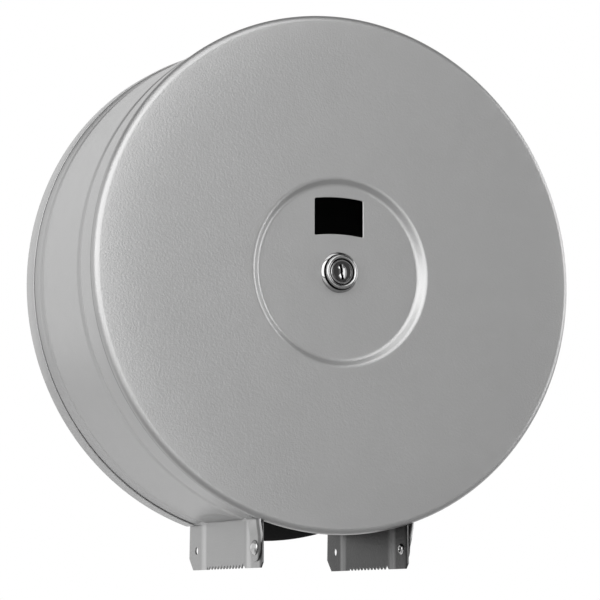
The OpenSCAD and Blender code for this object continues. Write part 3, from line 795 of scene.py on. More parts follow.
@dataclass
class PressedCover:
    """The round cover: one pressing with a dish, a window cut-out and two hinge ears."""

    radius: float = 155.0
    front: float = 123.0
    sheet: float = 0.8
    edge_radius: float = 4.5
    edge_start: float = 87.0
    edge_steps: int = 18
    dome_start: float = 108.0
    dome_fall: float = 0.9
    dome_columns: int = 15
    skirt_rear: float = 117.5
    dish_radius: float = 57.5
    floor_radius: float = 50.8
    dish_depth: float = 3.5
    dish_bend: float = 3.8
    dish_steps: int = 10
    dish_margin: float = 1.5
    window_width: float = 31.5
    window_height: float = 22.0
    window_z: float = 32.8
    window_arch: float = 1.2
    window_corner: float = 0.8
    window_columns: int = 14
    lock_hole: float = 9.6
    cut_round: float = 0.4
    outlet_x: float = -1.0
    hinge_depth: float = 109.0
    hinge_z: float = -162.5
    ear_inner: float = 47.65
    ear_lean: float = 1.25
    ear_radius: float = 8.0
    ear_front: float = 119.7
    ear_flare: float = 7.0
    ear_rows: tuple[int, int] = (15, 18)
    ear_columns: int = 9
    ear_round: int = 7
    hair: float = 0.001
    least_square: float = 0.2
    lean_start: float = 0.8
    lean_power: float = 0.75
    strip_radius: float = 153.8
    end_gap: float = 0.3
    tongue_width: float = 3.2
    tongue_rear: float = 107.5
    skirt_rows: Triple = (0.35, 0.7, 1.0)
    lip_turns: tuple[float, ...] = (30.0, 60.0, 90.0, 120.0, 150.0)
    cut_turns: tuple[float, ...] = (0.0, 30.0, 60.0, 90.0)

    def profile(self, inset: float) -> Array:
        """Section of one face of the pressing, from the dish's floor to the end of its rounded edge.

        Args:
            inset: How far the face lies inside the outer one.

        Returns:
            Rows of (radius, depth): flat floor, S bend, panel and a quarter of a circle. Near its
            edge the panel falls with the third power of the way.
        """
        floor = self.front - self.dish_depth
        edge = self.radius - self.edge_radius
        way = np.linspace(0.0, 1.0, self.dome_columns)
        dome = np.stack([self.dome_start + (edge - self.dome_start) * way,
                         self.front - inset - self.dome_fall * way**3], axis=-1)
        run, fall = (self.dish_radius - self.floor_radius) / 2, self.dish_depth / 2 - self.dish_bend
        turn = math.degrees(math.atan2(fall, run) + math.asin(self.dish_bend / math.hypot(run, fall)))
        return np.concatenate([
            [[self.floor_radius - self.dish_margin, floor - inset]],
            arc(self.floor_radius, floor + self.dish_bend, self.dish_bend + inset, -90, turn - 90,
                self.dish_steps),
            arc(self.dish_radius, self.front - self.dish_bend, self.dish_bend - inset, 90 + turn, 90,
                self.dish_steps),
            [[self.dish_radius + self.dish_margin, self.front - inset]],
            dome[:-1],
            arc(edge, self.front - self.dome_fall - self.edge_radius, self.edge_radius - inset,
                self.edge_start, 0, self.edge_steps),
        ])

    def joint_x(self, side: Side) -> float:
        """Distance across from the middle to where an ear's sheet meets the skirt."""
        return self.ear_inner + self.ear_lean + self.sheet / 2 + side.value * self.outlet_x

    def tongue_span(self, side: Side) -> Pair:
        """Angles from straight down at which the skirt's tongue starts and ends on one side."""
        start = self.joint_x(side)
        return math.asin(start / self.radius), math.asin((start + self.tongue_width) / self.radius)

    def angles(self) -> Array:
        """Angles round the cover, with close pairs at the sides of each tongue."""
        down, close = -math.pi / 2, 2e-4
        extra = [down + side.value * a + step for side in Side for a in self.tongue_span(side)
                 for step in (-close, close)]
        return np.unique(np.mod(np.concatenate([ring_angles(), extra]), 2 * math.pi))

    def skirt_end(self, angles: Array) -> Array:
        """Depth at which the skirt ends at each angle: further back on the two tongues."""
        end = np.full(len(angles), self.skirt_rear)
        for side in Side:
            low, high = self.tongue_span(side)
            away = np.mod(side.value * (angles + math.pi / 2), 2 * math.pi)
            end[(away > low) & (away < high)] = self.tongue_rear
        return end

    def window(self, inset: float, depth: float) -> Array:
        """Points round the window, with arched long edges and small round corners.

        Args:
            inset: How far the points lie inside the cut's edge; negative is outside it.
            depth: Depth of the points.

        Returns:
            Points in order round the window.
        """
        half_w, half_h = self.window_width / 2 - inset, self.window_height / 2 - inset
        corner, count = self.window_corner - inset, self.window_columns
        quarter = [arc(sx * (half_w - corner), sy * (half_h - corner), corner, a, a + 90, 5)
                   for sx, sy, a in ((1, 1, 0), (-1, 1, 90), (-1, -1, 180), (1, -1, 270))]
        top = np.stack([np.linspace(half_w - corner, corner - half_w, count)[1:-1],
                        np.full(count - 2, half_h)], axis=-1)
        low = top[::-1] * [1, -1]
        flat = np.concatenate([quarter[0], top, quarter[1], quarter[2], low, quarter[3]])
        rise = self.window_arch * (1 - (2 * flat[:, 0] / self.window_width) ** 2)
        return at_wall(flat[:, 0], self.window_z + flat[:, 1] + rise, depth)

    def _cut_edge(self, work: Patchwork, loop: Callable[[float, float], Array], front: float,
                  rear: float) -> None:
        """Adds the rounded wall of a cut through the floor; loop(inset, depth) gives its points."""
        r, turns = self.cut_round, np.radians(self.cut_turns)
        rows = [loop(-r + r * math.sin(a), front - r + r * math.cos(a)) for a in turns]
        rows += [loop(-r + r * math.sin(a), rear + r - r * math.cos(a)) for a in turns[::-1]]
        work.grid(np.stack(rows), around=True)

    def _shell(self, work: Patchwork) -> None:
        """Adds both faces of the pressing, its skirt and its floor with the two cuts."""
        angles = self.angles()
        end = self.skirt_end(angles)
        outer, inner = self.profile(0.0), self.profile(self.sheet)
        start = self.front - self.dome_fall - self.edge_radius
        half = self.sheet / 2
        run = end + half - start
        skirt = [circle(self.radius, start + run * t, angles) for t in self.skirt_rows]
        lip = [circle(self.radius - half + half * math.cos(a), end + half - half * math.sin(a), angles)
               for a in np.radians(self.lip_turns)]
        back = [circle(self.radius - self.sheet, start + run * t, angles) for t in self.skirt_rows[::-1]]
        rows = [*revolve(outer, angles), *skirt, *lip, *back, *revolve(inner[::-1], angles)]
        work.grid(np.stack(rows), around=True)

        floor, hole = self.front - self.dish_depth, ring_angles(SMALL_STEPS)
        for depth, profile in ((floor, outer), (floor - self.sheet, inner)):
            work.fill(circle(profile[0, 0], depth, angles),
                      [self.window(-self.cut_round, depth),
                       circle(self.lock_hole + self.cut_round, depth, hole)])
        self._cut_edge(work, self.window, floor, floor - self.sheet)
        self._cut_edge(work, lambda inset, depth: circle(self.lock_hole - inset, depth, hole),
                       floor, floor - self.sheet)

    def ear(self, side: Side) -> Array:
        """Closed grid of one hinge ear.

        Each row is a height; round a row the points run along the outer face, over the front edge
        and back along the inner face. The plate's depth range is that of a circle at its lower end
        and is cut by the circle in which the ear turns at its upper end. The lowest row lies a hair
        higher and the cut keeps a least reach, so that neither shrinks to a point.
        """
        joint_r = self.radius - self.sheet / 2
        top_z = -math.sqrt(joint_r**2 - self.joint_x(side) ** 2) + self.sheet / 2
        turn = np.linspace(0.0, math.pi / 2, self.ear_rows[0])
        heights = np.concatenate([self.hinge_z - self.ear_radius * np.cos(turn),
                                  np.linspace(self.hinge_z, top_z, self.ear_rows[1])[1:]])
        heights[0] += self.hair
        drop = np.clip(self.hinge_z - heights, 0, self.ear_radius)
        reach = np.sqrt(self.ear_radius**2 - drop**2)
        rise = np.clip(heights - self.hinge_z, 0, None)
        flare = smoothstep(0.0, self.ear_flare, rise)
        front = self.hinge_depth + reach + flare * (self.ear_front - self.hinge_depth - self.ear_radius)
        tab_x = self.ear_inner + side.value * self.outlet_x
        turn_r = -self.hinge_z - math.sqrt(self.strip_radius**2 - tab_x**2) - self.end_gap
        arm = np.sqrt(np.clip(turn_r**2 - rise**2, self.least_square, None))
        rear = self.hinge_depth - np.minimum(reach, arm)
        lean = self.ear_lean * smoothstep(self.ear_radius * self.lean_start, top_z - self.hinge_z,
                                          rise) ** self.lean_power
        half = self.sheet / 2
        along = np.linspace(0.0, 1.0, self.ear_columns)
        around = np.radians(np.linspace(90, -90, self.ear_round))[1:-1]
        width = front - rear - self.sheet
        columns = [(half, rear + half + width * t) for t in along]
        columns += [(half * math.sin(a), front - half + half * math.cos(a)) for a in around]
        columns += [(-half, rear + half + width * t) for t in along[::-1]]
        columns += [(half * math.sin(a), rear + half - half * math.cos(a)) for a in around[::-1]]
        x = np.stack([self.ear_inner + half + lean + offset for offset, _ in columns], axis=1)
        depth = np.stack([d for _, d in columns], axis=1)
        x = self.outlet_x + side.value * x
        return at_wall(x, heights[:, None], depth)

    def dress(self, palette: Palette) -> None:
        """Builds the cover and puts it in place of its CAD node."""
        work = Patchwork()
        self._shell(work)
        cover = work.build("cover_pressing")
        place(cover, Body.COVER, Slot.GREY_PAINT, palette, "front_cover")
        for side in Side:
            points = self.ear(side)
            plate = Patchwork().grid(points, around=True).fill(points[0]).fill(points[-1])
            ear = plate.build(f"hinge_ear_{side.name.lower()}", crease=50)
            place(ear, Body.COVER, Slot.GREY_PAINT, palette)


@dataclass
class RolledStrip:
    """The rolled strip with two grooves and a toothed tab folded down at each end."""

    radius: float = 153.8
    sheet: float = 1.0
    rear: float = 3.3
    front: float = 118.2
    tab_front: float = 117.2
    groove_width: float = 8.4
    groove_depth: float = 0.8
    grooves: Pair = (25.8, 94.0)
    fold: float = 1.0
    outlet_half: float = 47.3
    outlet_x: float = -1.0
    tab_end: float = -174.3
    rear_chamfer: Pair = (6.0, 7.0)
    front_chamfer: float = 3.0
    tooth_start: float = 31.8
    tooth_pitch: float = 4.7
    tooth_count: int = 12
    tooth_height: float = 2.2
    notch: Pair = (3.6, 3.0)
    hole_radius: float = 2.35
    hole_depth: float = 14.4
    hole_z: float = -162.5
    hole_block: float = 4.2
    hole_rows: int = 9
    tab_rows: int = 8
    tab_flare: float = 0.8
    flare_run: float = 12.0
    flare_drop: float = 20.0
    tab_blend: float = 8.0
    tab_groove: float = 0.2
    hair: float = 0.02
    cone: float = 0.5
    cone_run: float = 20.0
    rear_flare: float = 0.88
    rear_run: Pair = (21.0, 14.5)
    low_share: float = 0.2
    low_run: Pair = (-0.1, -0.8)
    seam_bead: float = 0.2
    bead_depth: float = 15.6
    bead_width: float = 0.5
    seam_span: Pair = (12.5, 21.5)
    dent_reach: float = 10.5
    dent_slope: float = 0.12
    dent_span: Pair = (30.5, 89.0)
    dent_fall: float = 3.5
    edge_rows: int = 7
    fine_steps: int = 60
    fine_turn: float = 12.0
    coarse_steps: int = 160

    def sink(self, depth: Array) -> Array:
        """How far the sheet sinks at each depth: one cosine wave across each groove and a slight
        cone in front of the front groove."""
        total = np.zeros_like(depth)
        for middle in self.grooves:
            away = np.clip(np.abs(depth - middle) / (self.groove_width / 2), 0.0, 1.0)
            total += self.groove_depth * (1 + np.cos(math.pi * away)) / 2
        return total + self.cone * smoothstep(self.grooves[1], self.front + self.cone_run, depth)

    def lower_edge(self, depth: Array) -> Array:
        """Height of a tab's lower edge at each depth: chamfers, teeth and a notch."""
        last = self.tooth_start + self.tooth_count * self.tooth_pitch
        marks = [(self.rear, self.rear_chamfer[1]), (self.rear + self.rear_chamfer[0], 0.0),
                 (self.tooth_start - self.hair, 0.0)]
        for i in range(self.tooth_count):
            marks.append((self.tooth_start + i * self.tooth_pitch, self.tooth_height))
            marks.append((self.tooth_start + (i + 0.5) * self.tooth_pitch, 0.0))
        marks += [(last, self.notch[1]), (last + self.notch[0], 0.0),
                  (self.front - self.front_chamfer, 0.0), (self.front, self.front_chamfer)]
        at, height = np.array(marks).T
        return self.tab_end + np.interp(depth, at, height)

    def depths(self) -> Array:
        """Depths of the grid's columns: every corner of the lower edge and fine steps in the grooves."""
        teeth = self.tooth_start + np.arange(2 * self.tooth_count + 1) * self.tooth_pitch / 2
        waves = [m + self.groove_width / 2 * np.linspace(-1, 1, 17) for m in self.grooves]
        last = teeth[-1] + self.notch[0]
        other = [self.rear, self.rear + 1.5, self.rear + self.rear_chamfer[0],
                 self.tooth_start - self.hair, last, self.front - self.front_chamfer, self.front]
        hole = self.hole_depth + np.linspace(-self.hole_block, self.hole_block, self.hole_rows)
        seam = np.linspace(*self.seam_span, 19)
        every = np.unique(np.round(np.concatenate([teeth, *waves, other, hole, seam]), 3))
        return every[np.concatenate([[True], np.diff(every) > 0.015])]

    def half_path(self, side: Side) -> tuple[Array, Array]:
        """Outer line of the sheet on one side, from the tab's foot up to the middle of the top.

        The tab is straight, the fold is an arc whose centre lies outside the sheet, and the rest
        is an arc round the body's axis.

        Returns:
            Points (x, z) and outward normals, drawn on the right.
        """
        tab_x = self.outlet_half + side.value * self.outlet_x
        centre_x = tab_x + self.fold
        centre_z = -math.sqrt((self.radius + self.fold) ** 2 - centre_x**2)
        lean = math.degrees(math.asin(centre_x / (self.radius + self.fold)))
        low, high = self.hole_z - self.hole_block, self.hole_z + self.hole_block
        z = np.concatenate([np.linspace(self.tab_end, low, self.tab_rows)[:-1],
                            np.linspace(low, high, self.hole_rows),
                            np.linspace(high, centre_z, self.tab_rows)[1:]])
        tab = np.stack([np.full(len(z), tab_x), z], axis=-1)
        tab_normal = np.tile([1.0, 0.0], (len(z), 1))
        bend = arc(centre_x, centre_z, self.fold, 180, 90 + lean, 8)[1:]
        bend_normal = (np.array([centre_x, centre_z]) - bend) / self.fold
        near = arc(0.0, 0.0, self.radius, lean - 90, lean - 90 + self.fine_turn, self.fine_steps)
        far = arc(0.0, 0.0, self.radius, lean - 90 + self.fine_turn, 90, self.coarse_steps)
        roll = np.concatenate([near, far[1:]])[1:]
        return (np.concatenate([tab, bend, roll]),
                np.concatenate([tab_normal, bend_normal, roll / self.radius]))

    def faces(self, side: Side) -> tuple[Array, Array]:
        """Grids of the outer and inner face on one side.

        A point is the path's point, less the groove's sink along the path's normal. On the tab the
        lowest rows are stretched to meet the toothed edge.
        """
        path, normal = self.half_path(side)
        depth = self.depths()[None, :]
        z = path[:, 1:]
        first = len(path) - self.fine_steps - self.coarse_steps
        bend_z = path[first - 1, 1]
        on_tab = smoothstep(-bend_z, -bend_z + self.hair, -z)
        low = self.hole_z - self.hole_block
        share = np.clip((low - z) / (low - self.tab_end), 0.0, 1.0)
        height = np.where(z < low, low + (self.lower_edge(depth) - low) * share, z)
        end = self.front + (self.tab_front - self.front) * on_tab
        nearness = smoothstep(self.tab_front - self.tab_blend, self.front, depth)
        spread = smoothstep(self.rear + self.flare_run, self.rear, depth) \
            * np.clip((bend_z - height) / self.flare_drop, 0.0, 1.0)
        shifted = depth + (end - self.front) * nearness - self.tab_flare * spread
        rolled = np.arange(len(path))[:, None] >= first
        closed = 1.0 - self.low_share * smoothstep(*self.low_run, z / self.radius)
        flare = self.rear_flare * smoothstep(*self.rear_run, depth) \
            + self.seam_bead * np.exp(-(((depth - self.bead_depth) / self.bead_width) ** 2))
        sink = self.sink(depth) * np.where(rolled, 1.0, self.tab_groove)
        sink = sink - (flare * closed + self._dent(path, first, depth)) * rolled
        grids = []
        for inset in (0.0, self.sheet):
            x = path[:, :1] - normal[:, :1] * (sink + inset)
            h = height - normal[:, 1:] * (sink + inset)
            grids.append(at_wall(side.value * x, h, shifted))
        return grids[0], grids[1]

    def _dent(self, path: Array, first: int, depth: Array) -> Array:
        """Bulge that the fold leaves in the rolled sheet between the two grooves.

        The patch is half an ellipse on the fold. Inside it the sheet rises evenly from the
        ellipse's edge towards the fold and falls back close to the fold.
        """
        turn = np.arctan2(path[:, 1:], path[:, :1])
        away = self.radius * np.clip(turn - turn[first - 1], 0.0, None)
        low, high = self.dent_span
        place = (2 * depth - low - high) / (high - low)
        reach = self.dent_reach * np.sqrt(np.clip(1 - place**2, 0.0, 1.0))
        return self.dent_slope * np.clip(reach - away, 0.0, None) * smoothstep(0.0, self.dent_fall, away)

    def _pierce(self, work: Patchwork, outer: Array, inner: Array, side: Side) -> Array:
        """Opens the spare hole of a tab and adds its rim, and returns the mask of cells to keep."""
        keep = np.ones((outer.shape[0] - 1, outer.shape[1] - 1), dtype=bool)
        reach = self.hole_block + self.hair
        rows = np.flatnonzero(np.abs(self.half_path(side)[0][:, 1] - self.hole_z) < reach)
        columns = np.flatnonzero(np.abs(self.depths() - self.hole_depth) < reach)
        r0, r1, c0, c1 = rows[0], rows[-1], columns[0], columns[-1]
        keep[r0:r1, c0:c1] = False

        def border(grid: Array) -> Array:
            """Points round the block of removed cells."""
            return np.concatenate([grid[r0, c0:c1], grid[r0:r1, c1], grid[r1, c1:c0:-1], grid[r1:r0:-1, c0]])

        rims = []
        for grid in (outer, inner):
            edge = border(grid)
            away = edge - at_wall(0.0, self.hole_z, self.hole_depth)
            angle = np.arctan2(away[:, 2], -away[:, 1])
            ring = at_wall(edge[:, 0], self.hole_z + self.hole_radius * np.sin(angle),
                           self.hole_depth + self.hole_radius * np.cos(angle))
            work.strip(edge, ring)
            rims.append(ring)
        work.strip(rims[0], rims[1])
        return keep

    def _cut_edge(self, outer: Array, inner: Array, ahead: float) -> Array:
        """Rows of a half-round edge between two faces' border points.

        Args:
            outer: Border of the outer face.
            inner: Border of the inner face.
            ahead: Sign of the bulge along Y.

        Returns:
            A grid that runs from the outer to the inner border.
        """
        middle, half = (outer + inner) / 2, (outer - inner) / 2
        turn = np.radians(np.linspace(0, 180, self.edge_rows))[:, None]
        rows = middle + half * np.cos(turn)[..., None]
        rows[..., 1] += ahead * np.sin(turn) * self.sheet / 2
        return rows

    def dress(self, palette: Palette) -> None:
        """Builds the strip and puts it in place of its CAD node."""
        work = Patchwork()
        for side in Side:
            outer, inner = self.faces(side)
            keep = self._pierce(work, outer, inner, side)
            work.grid(outer, keep=keep).grid(inner, keep=keep)
            work.strip(outer[0], inner[0], around=False)
            for column, ahead in ((0, 1.0), (-1, -1.0)):
                work.grid(self._cut_edge(outer[:, column], inner[:, column], ahead))
        strip = work.build("side_band", crease=32)
        place(strip, Body.HOUSING, Slot.GREY_PAINT, palette, "side_strip")


@dataclass
class WallTray:
    """The round tray on the wall and the plastic liner in it."""

    rim_outer: float = 155.5
    sheet: float = 0.8
    rim_depth: float = 15.0
    rim_middle: float = 8.0
    rim_columns: int = 321
    gap_columns: int = 40
    bend: float = 2.0
    disc_edge: float = 152.5
    cut: Pair = (-50.0, 48.0)
    liner_radius: float = 154.3
    liner_front: float = 3.3
    liner_round: float = 0.5
    liner_columns: int = 720
    liner_lip: float = 1.3
    lip_half: float = 44.5
    lip_soft: float = 1.0
    outlet_x: float = -1.0
    wall_screws: Pair = (90.0, 60.0)
    wall_hole: float = 3.0
    head_hole: float = 7.5

    def screw_places(self) -> list[Pair]:
        """Places of the four wall screws."""
        return [(sx * self.wall_screws[0], sz * self.wall_screws[1]) for sx in (-1, 1) for sz in (-1, 1)]

    def rim(self) -> tuple[Array, Array]:
        """Grid of the rim's section round the tray, whose ends lie in two upright planes.

        A point at radius r has an angle that runs evenly from the right plane, at x = r cos a, round
        the top to the left plane.

        Returns:
            The grid, and the angles at the disc's edge.
        """
        half = self.sheet / 2
        outer, inner, r = self.rim_outer, self.rim_outer - self.sheet, self.bend
        section = np.concatenate([
            [[self.disc_edge, 0.0]],
            arc(outer - r, r, r, -90, 0, 8),
            [[outer, self.rim_middle]],
            arc(outer - half, self.rim_depth - half, half, 0, 180, 8),
            [[inner, self.rim_middle]],
            arc(outer - r, r, r - self.sheet, 0, -90, 8),
            [[self.disc_edge, self.sheet]],
        ])
        start = np.arcsin(self.cut[1] / section[:, 0]) - math.pi / 2
        end = 1.5 * math.pi - np.arcsin(-self.cut[0] / section[:, 0])
        angles = start[:, None] + (end - start)[:, None] * np.linspace(0.0, 1.0, self.rim_columns)
        return revolve(section, angles), angles[0]

    def dress(self, palette: Palette) -> None:
        """Builds the tray and the liner."""
        grid, angles = self.rim()
        gap = np.linspace(angles[-1], angles[0] + 2 * math.pi, self.gap_columns)[1:-1]
        edge = np.concatenate([angles, gap])
        small = ring_angles(HOLE_STEPS)
        work = Patchwork().grid(grid)
        for column in (0, -1):
            work.fill(grid[:, column])
        for depth in (0.0, self.sheet):
            holes = [circle(self.wall_hole, depth, small, x, z) for x, z in self.screw_places()]
            work.fill(circle(self.disc_edge, depth, edge), holes)
        cut = np.concatenate([angles[-1:], gap, angles[:1] + 2 * math.pi])
        work.strip(*(circle(self.disc_edge, depth, cut) for depth in (0.0, self.sheet)), around=False)
        for x, z in self.screw_places():
            work.strip(*(circle(self.wall_hole, depth, small, x, z) for depth in (0.0, self.sheet)))
        tray = work.build("wall_tray")
        place(tray, Body.HOUSING, Slot.GREY_PAINT, palette, "back_tray")

        bevel = self.bend - self.sheet
        section = np.concatenate([
            [[self.liner_radius - bevel, self.sheet], [self.liner_radius, self.sheet + bevel]],
            arc(self.liner_radius - self.liner_round, self.liner_front - self.liner_round,
                self.liner_round, 0, 90, 4),
        ])
        ring = ring_angles(self.liner_columns)
        away = np.abs(self.liner_radius * np.cos(ring) - self.outlet_x)
        near = smoothstep(self.lip_half + self.lip_soft, self.lip_half, away) * (np.sin(ring) < 0)
        rows = circle(section[:, :1] + self.liner_lip * near, section[:, 1:], ring)
        work = Patchwork().grid(rows, around=True)
        for row, depth in ((0, self.sheet), (-1, self.liner_front)):
            holes = [circle(self.head_hole, depth, small, x, z) for x, z in self.screw_places()]
            work.fill(rows[row], holes)
        for x, z in self.screw_places():
            work.strip(*(circle(self.head_hole, depth, small, x, z)
                         for depth in (self.sheet, self.liner_front)))
        liner = work.build("tray_liner")
        place(liner, Body.HOUSING, Slot.BLACK_PLASTIC, palette, "back_liner")


def cross_recess(radius: Array, angles: Array, reach: float, width: float) -> Array:
    """Share of a cross recess's depth at each place: 1 inside its two arms and 0 outside.

    Args:
        radius: Distances from the middle.
        angles: Angles in radians.
        reach: Half the length of an arm.
        width: Half the width of an arm.

    Returns:
        Product of two soft steps, along and across the nearer arm.
    """
    x, y = np.abs(radius * np.cos(angles)), np.abs(radius * np.sin(angles))
    along, across = np.maximum(x, y), np.minimum(x, y)
    return smoothstep(reach, reach * 0.6, along) * smoothstep(width * 1.25, width * 0.75, across)


@dataclass
class Screw:
    """A screw with a rounded head and a cross recess, its axis pointing at the wall.

    The shares are shares of the head's radius or height, or of the shank's radius.
    """

    x: float
    z: float
    shank: float
    tip: float
    seat: float
    head: float
    height: float
    sunk: bool = False
    backwards: bool = False
    recess_reach: float = 0.62
    recess_width: float = 0.11
    recess_depth: float = 0.55
    tip_share: float = 0.7
    point_share: float = 0.4
    foot_share: float = 0.06
    wall_share: float = 0.35
    crown_power: float = 2.6
    sunk_rim: Pair = (0.1, 0.12)

    def add(self, work: Patchwork) -> None:
        """Adds the screw's surface: a revolve whose head is sunk inside the recess."""
        angles = ring_angles(SMALL_STEPS)
        side = -1.0 if self.backwards else 1.0
        length = abs(self.seat - self.tip)
        foot = [[0.0, -length], [self.shank * self.tip_share, -length],
                [self.shank, -length + self.shank * self.point_share], [self.shank, 0.0]]
        if self.sunk:
            outer, lower = self.sunk_rim
            rim = [[self.head - outer, self.height - lower], [self.head - lower, self.height]]
        else:
            low = self.head * self.foot_share
            rim = [[self.head - low, 0.0], [self.head, low], [self.head, self.height * self.wall_share]]
        t = np.linspace(0.0, 1.0, 22)[1:]
        top = np.stack([rim[-1][0] * (1 - t), np.full(len(t), rim[-1][1])], axis=-1)
        if not self.sunk:
            top[:, 1] += (self.height - rim[-1][1]) * (1 - (1 - t) ** self.crown_power)
        profile = np.concatenate([foot, rim, top])
        radius = profile[:, :1]
        on_top = np.arange(len(profile))[:, None] >= len(foot) + len(rim)
        dip = on_top * self.height * self.recess_depth * cross_recess(
            radius, angles[None, :], self.head * self.recess_reach, self.head * self.recess_width)
        depth = self.seat + side * (profile[:, 1:] - dip)
        work.grid(circle(radius, depth, angles, self.x, self.z), around=True)


@dataclass
class StripBrackets:
    """Angle brackets between the strip and the tray, with their rivets."""

    angles: tuple[float, ...] = (-40.0, 46.6667, 133.3333, 220.0)
    width: float = 9.0
    foot_end: float = 137.8
    leg_face: float = 152.8
    sheet: float = 1.2
    base: float = 3.3
    top: float = 18.3
    bend: float = 1.0
    rivet_at: float = 143.8
    rivet_shank: float = 2.0
    rivet_head: float = 4.0
    rivet_height: float = 1.5

    def section(self) -> Array:
        """Closed section of a bracket as (radius, depth), with a bend between foot and leg."""
        s, half = self.sheet, self.sheet / 2
        outer = self.bend + s
        return np.concatenate([
            arc(self.foot_end + half, self.base + half, half, 90, 270, 6),
            arc(self.leg_face - outer, self.base + outer, outer, -90, 0, 8),
            arc(self.leg_face - half, self.top - half, half, 0, 180, 6),
            arc(self.leg_face - outer, self.base + outer, self.bend, 0, -90, 8),
        ])

    def dress(self, palette: Palette) -> None:
        """Builds the brackets and their rivets."""
        work, rivets = Patchwork(), Patchwork()
        section = self.section()
        section = np.concatenate([section, section[:1]])
        for middle in self.angles:
            spread = np.radians(np.linspace(middle - self.width / 2, middle + self.width / 2, 13))
            grid = revolve(section, spread)
            work.grid(grid).fill(grid[:-1, 0]).fill(grid[:-1, -1])
            a = math.radians(middle)
            face = self.base + self.sheet
            t = np.radians(np.linspace(0, 90, 9))
            dome = np.stack([self.rivet_head * np.cos(t), face + self.rivet_height * np.sin(t)], axis=-1)
            shank = [[0.0, 0.0], [self.rivet_shank, 0.0], [self.rivet_shank, face], [self.rivet_head, face]]
            profile = np.concatenate([shank, dome[1:]])
            profile[-1, 0] = 0.0
            rivets.grid(revolve(profile, ring_angles(HOLE_STEPS), self.rivet_at * math.cos(a),
                                self.rivet_at * math.sin(a)), around=True)
        place(work.build("angle_brackets"), Body.HOUSING, Slot.ZINC_STEEL, palette, "strip_brackets")
        place(rivets.build("bracket_rivet_set"), Body.HOUSING, Slot.ZINC_STEEL, palette, "bracket_rivets")


def turned(name: str, section: Array, steps: int = TURNED_STEPS) -> bpy.types.Object:
    """Builds a piece from a closed or pole-to-pole section that is turned round the body's axis."""
    return Patchwork().grid(revolve(section, ring_angles(steps)), around=True).build(name)


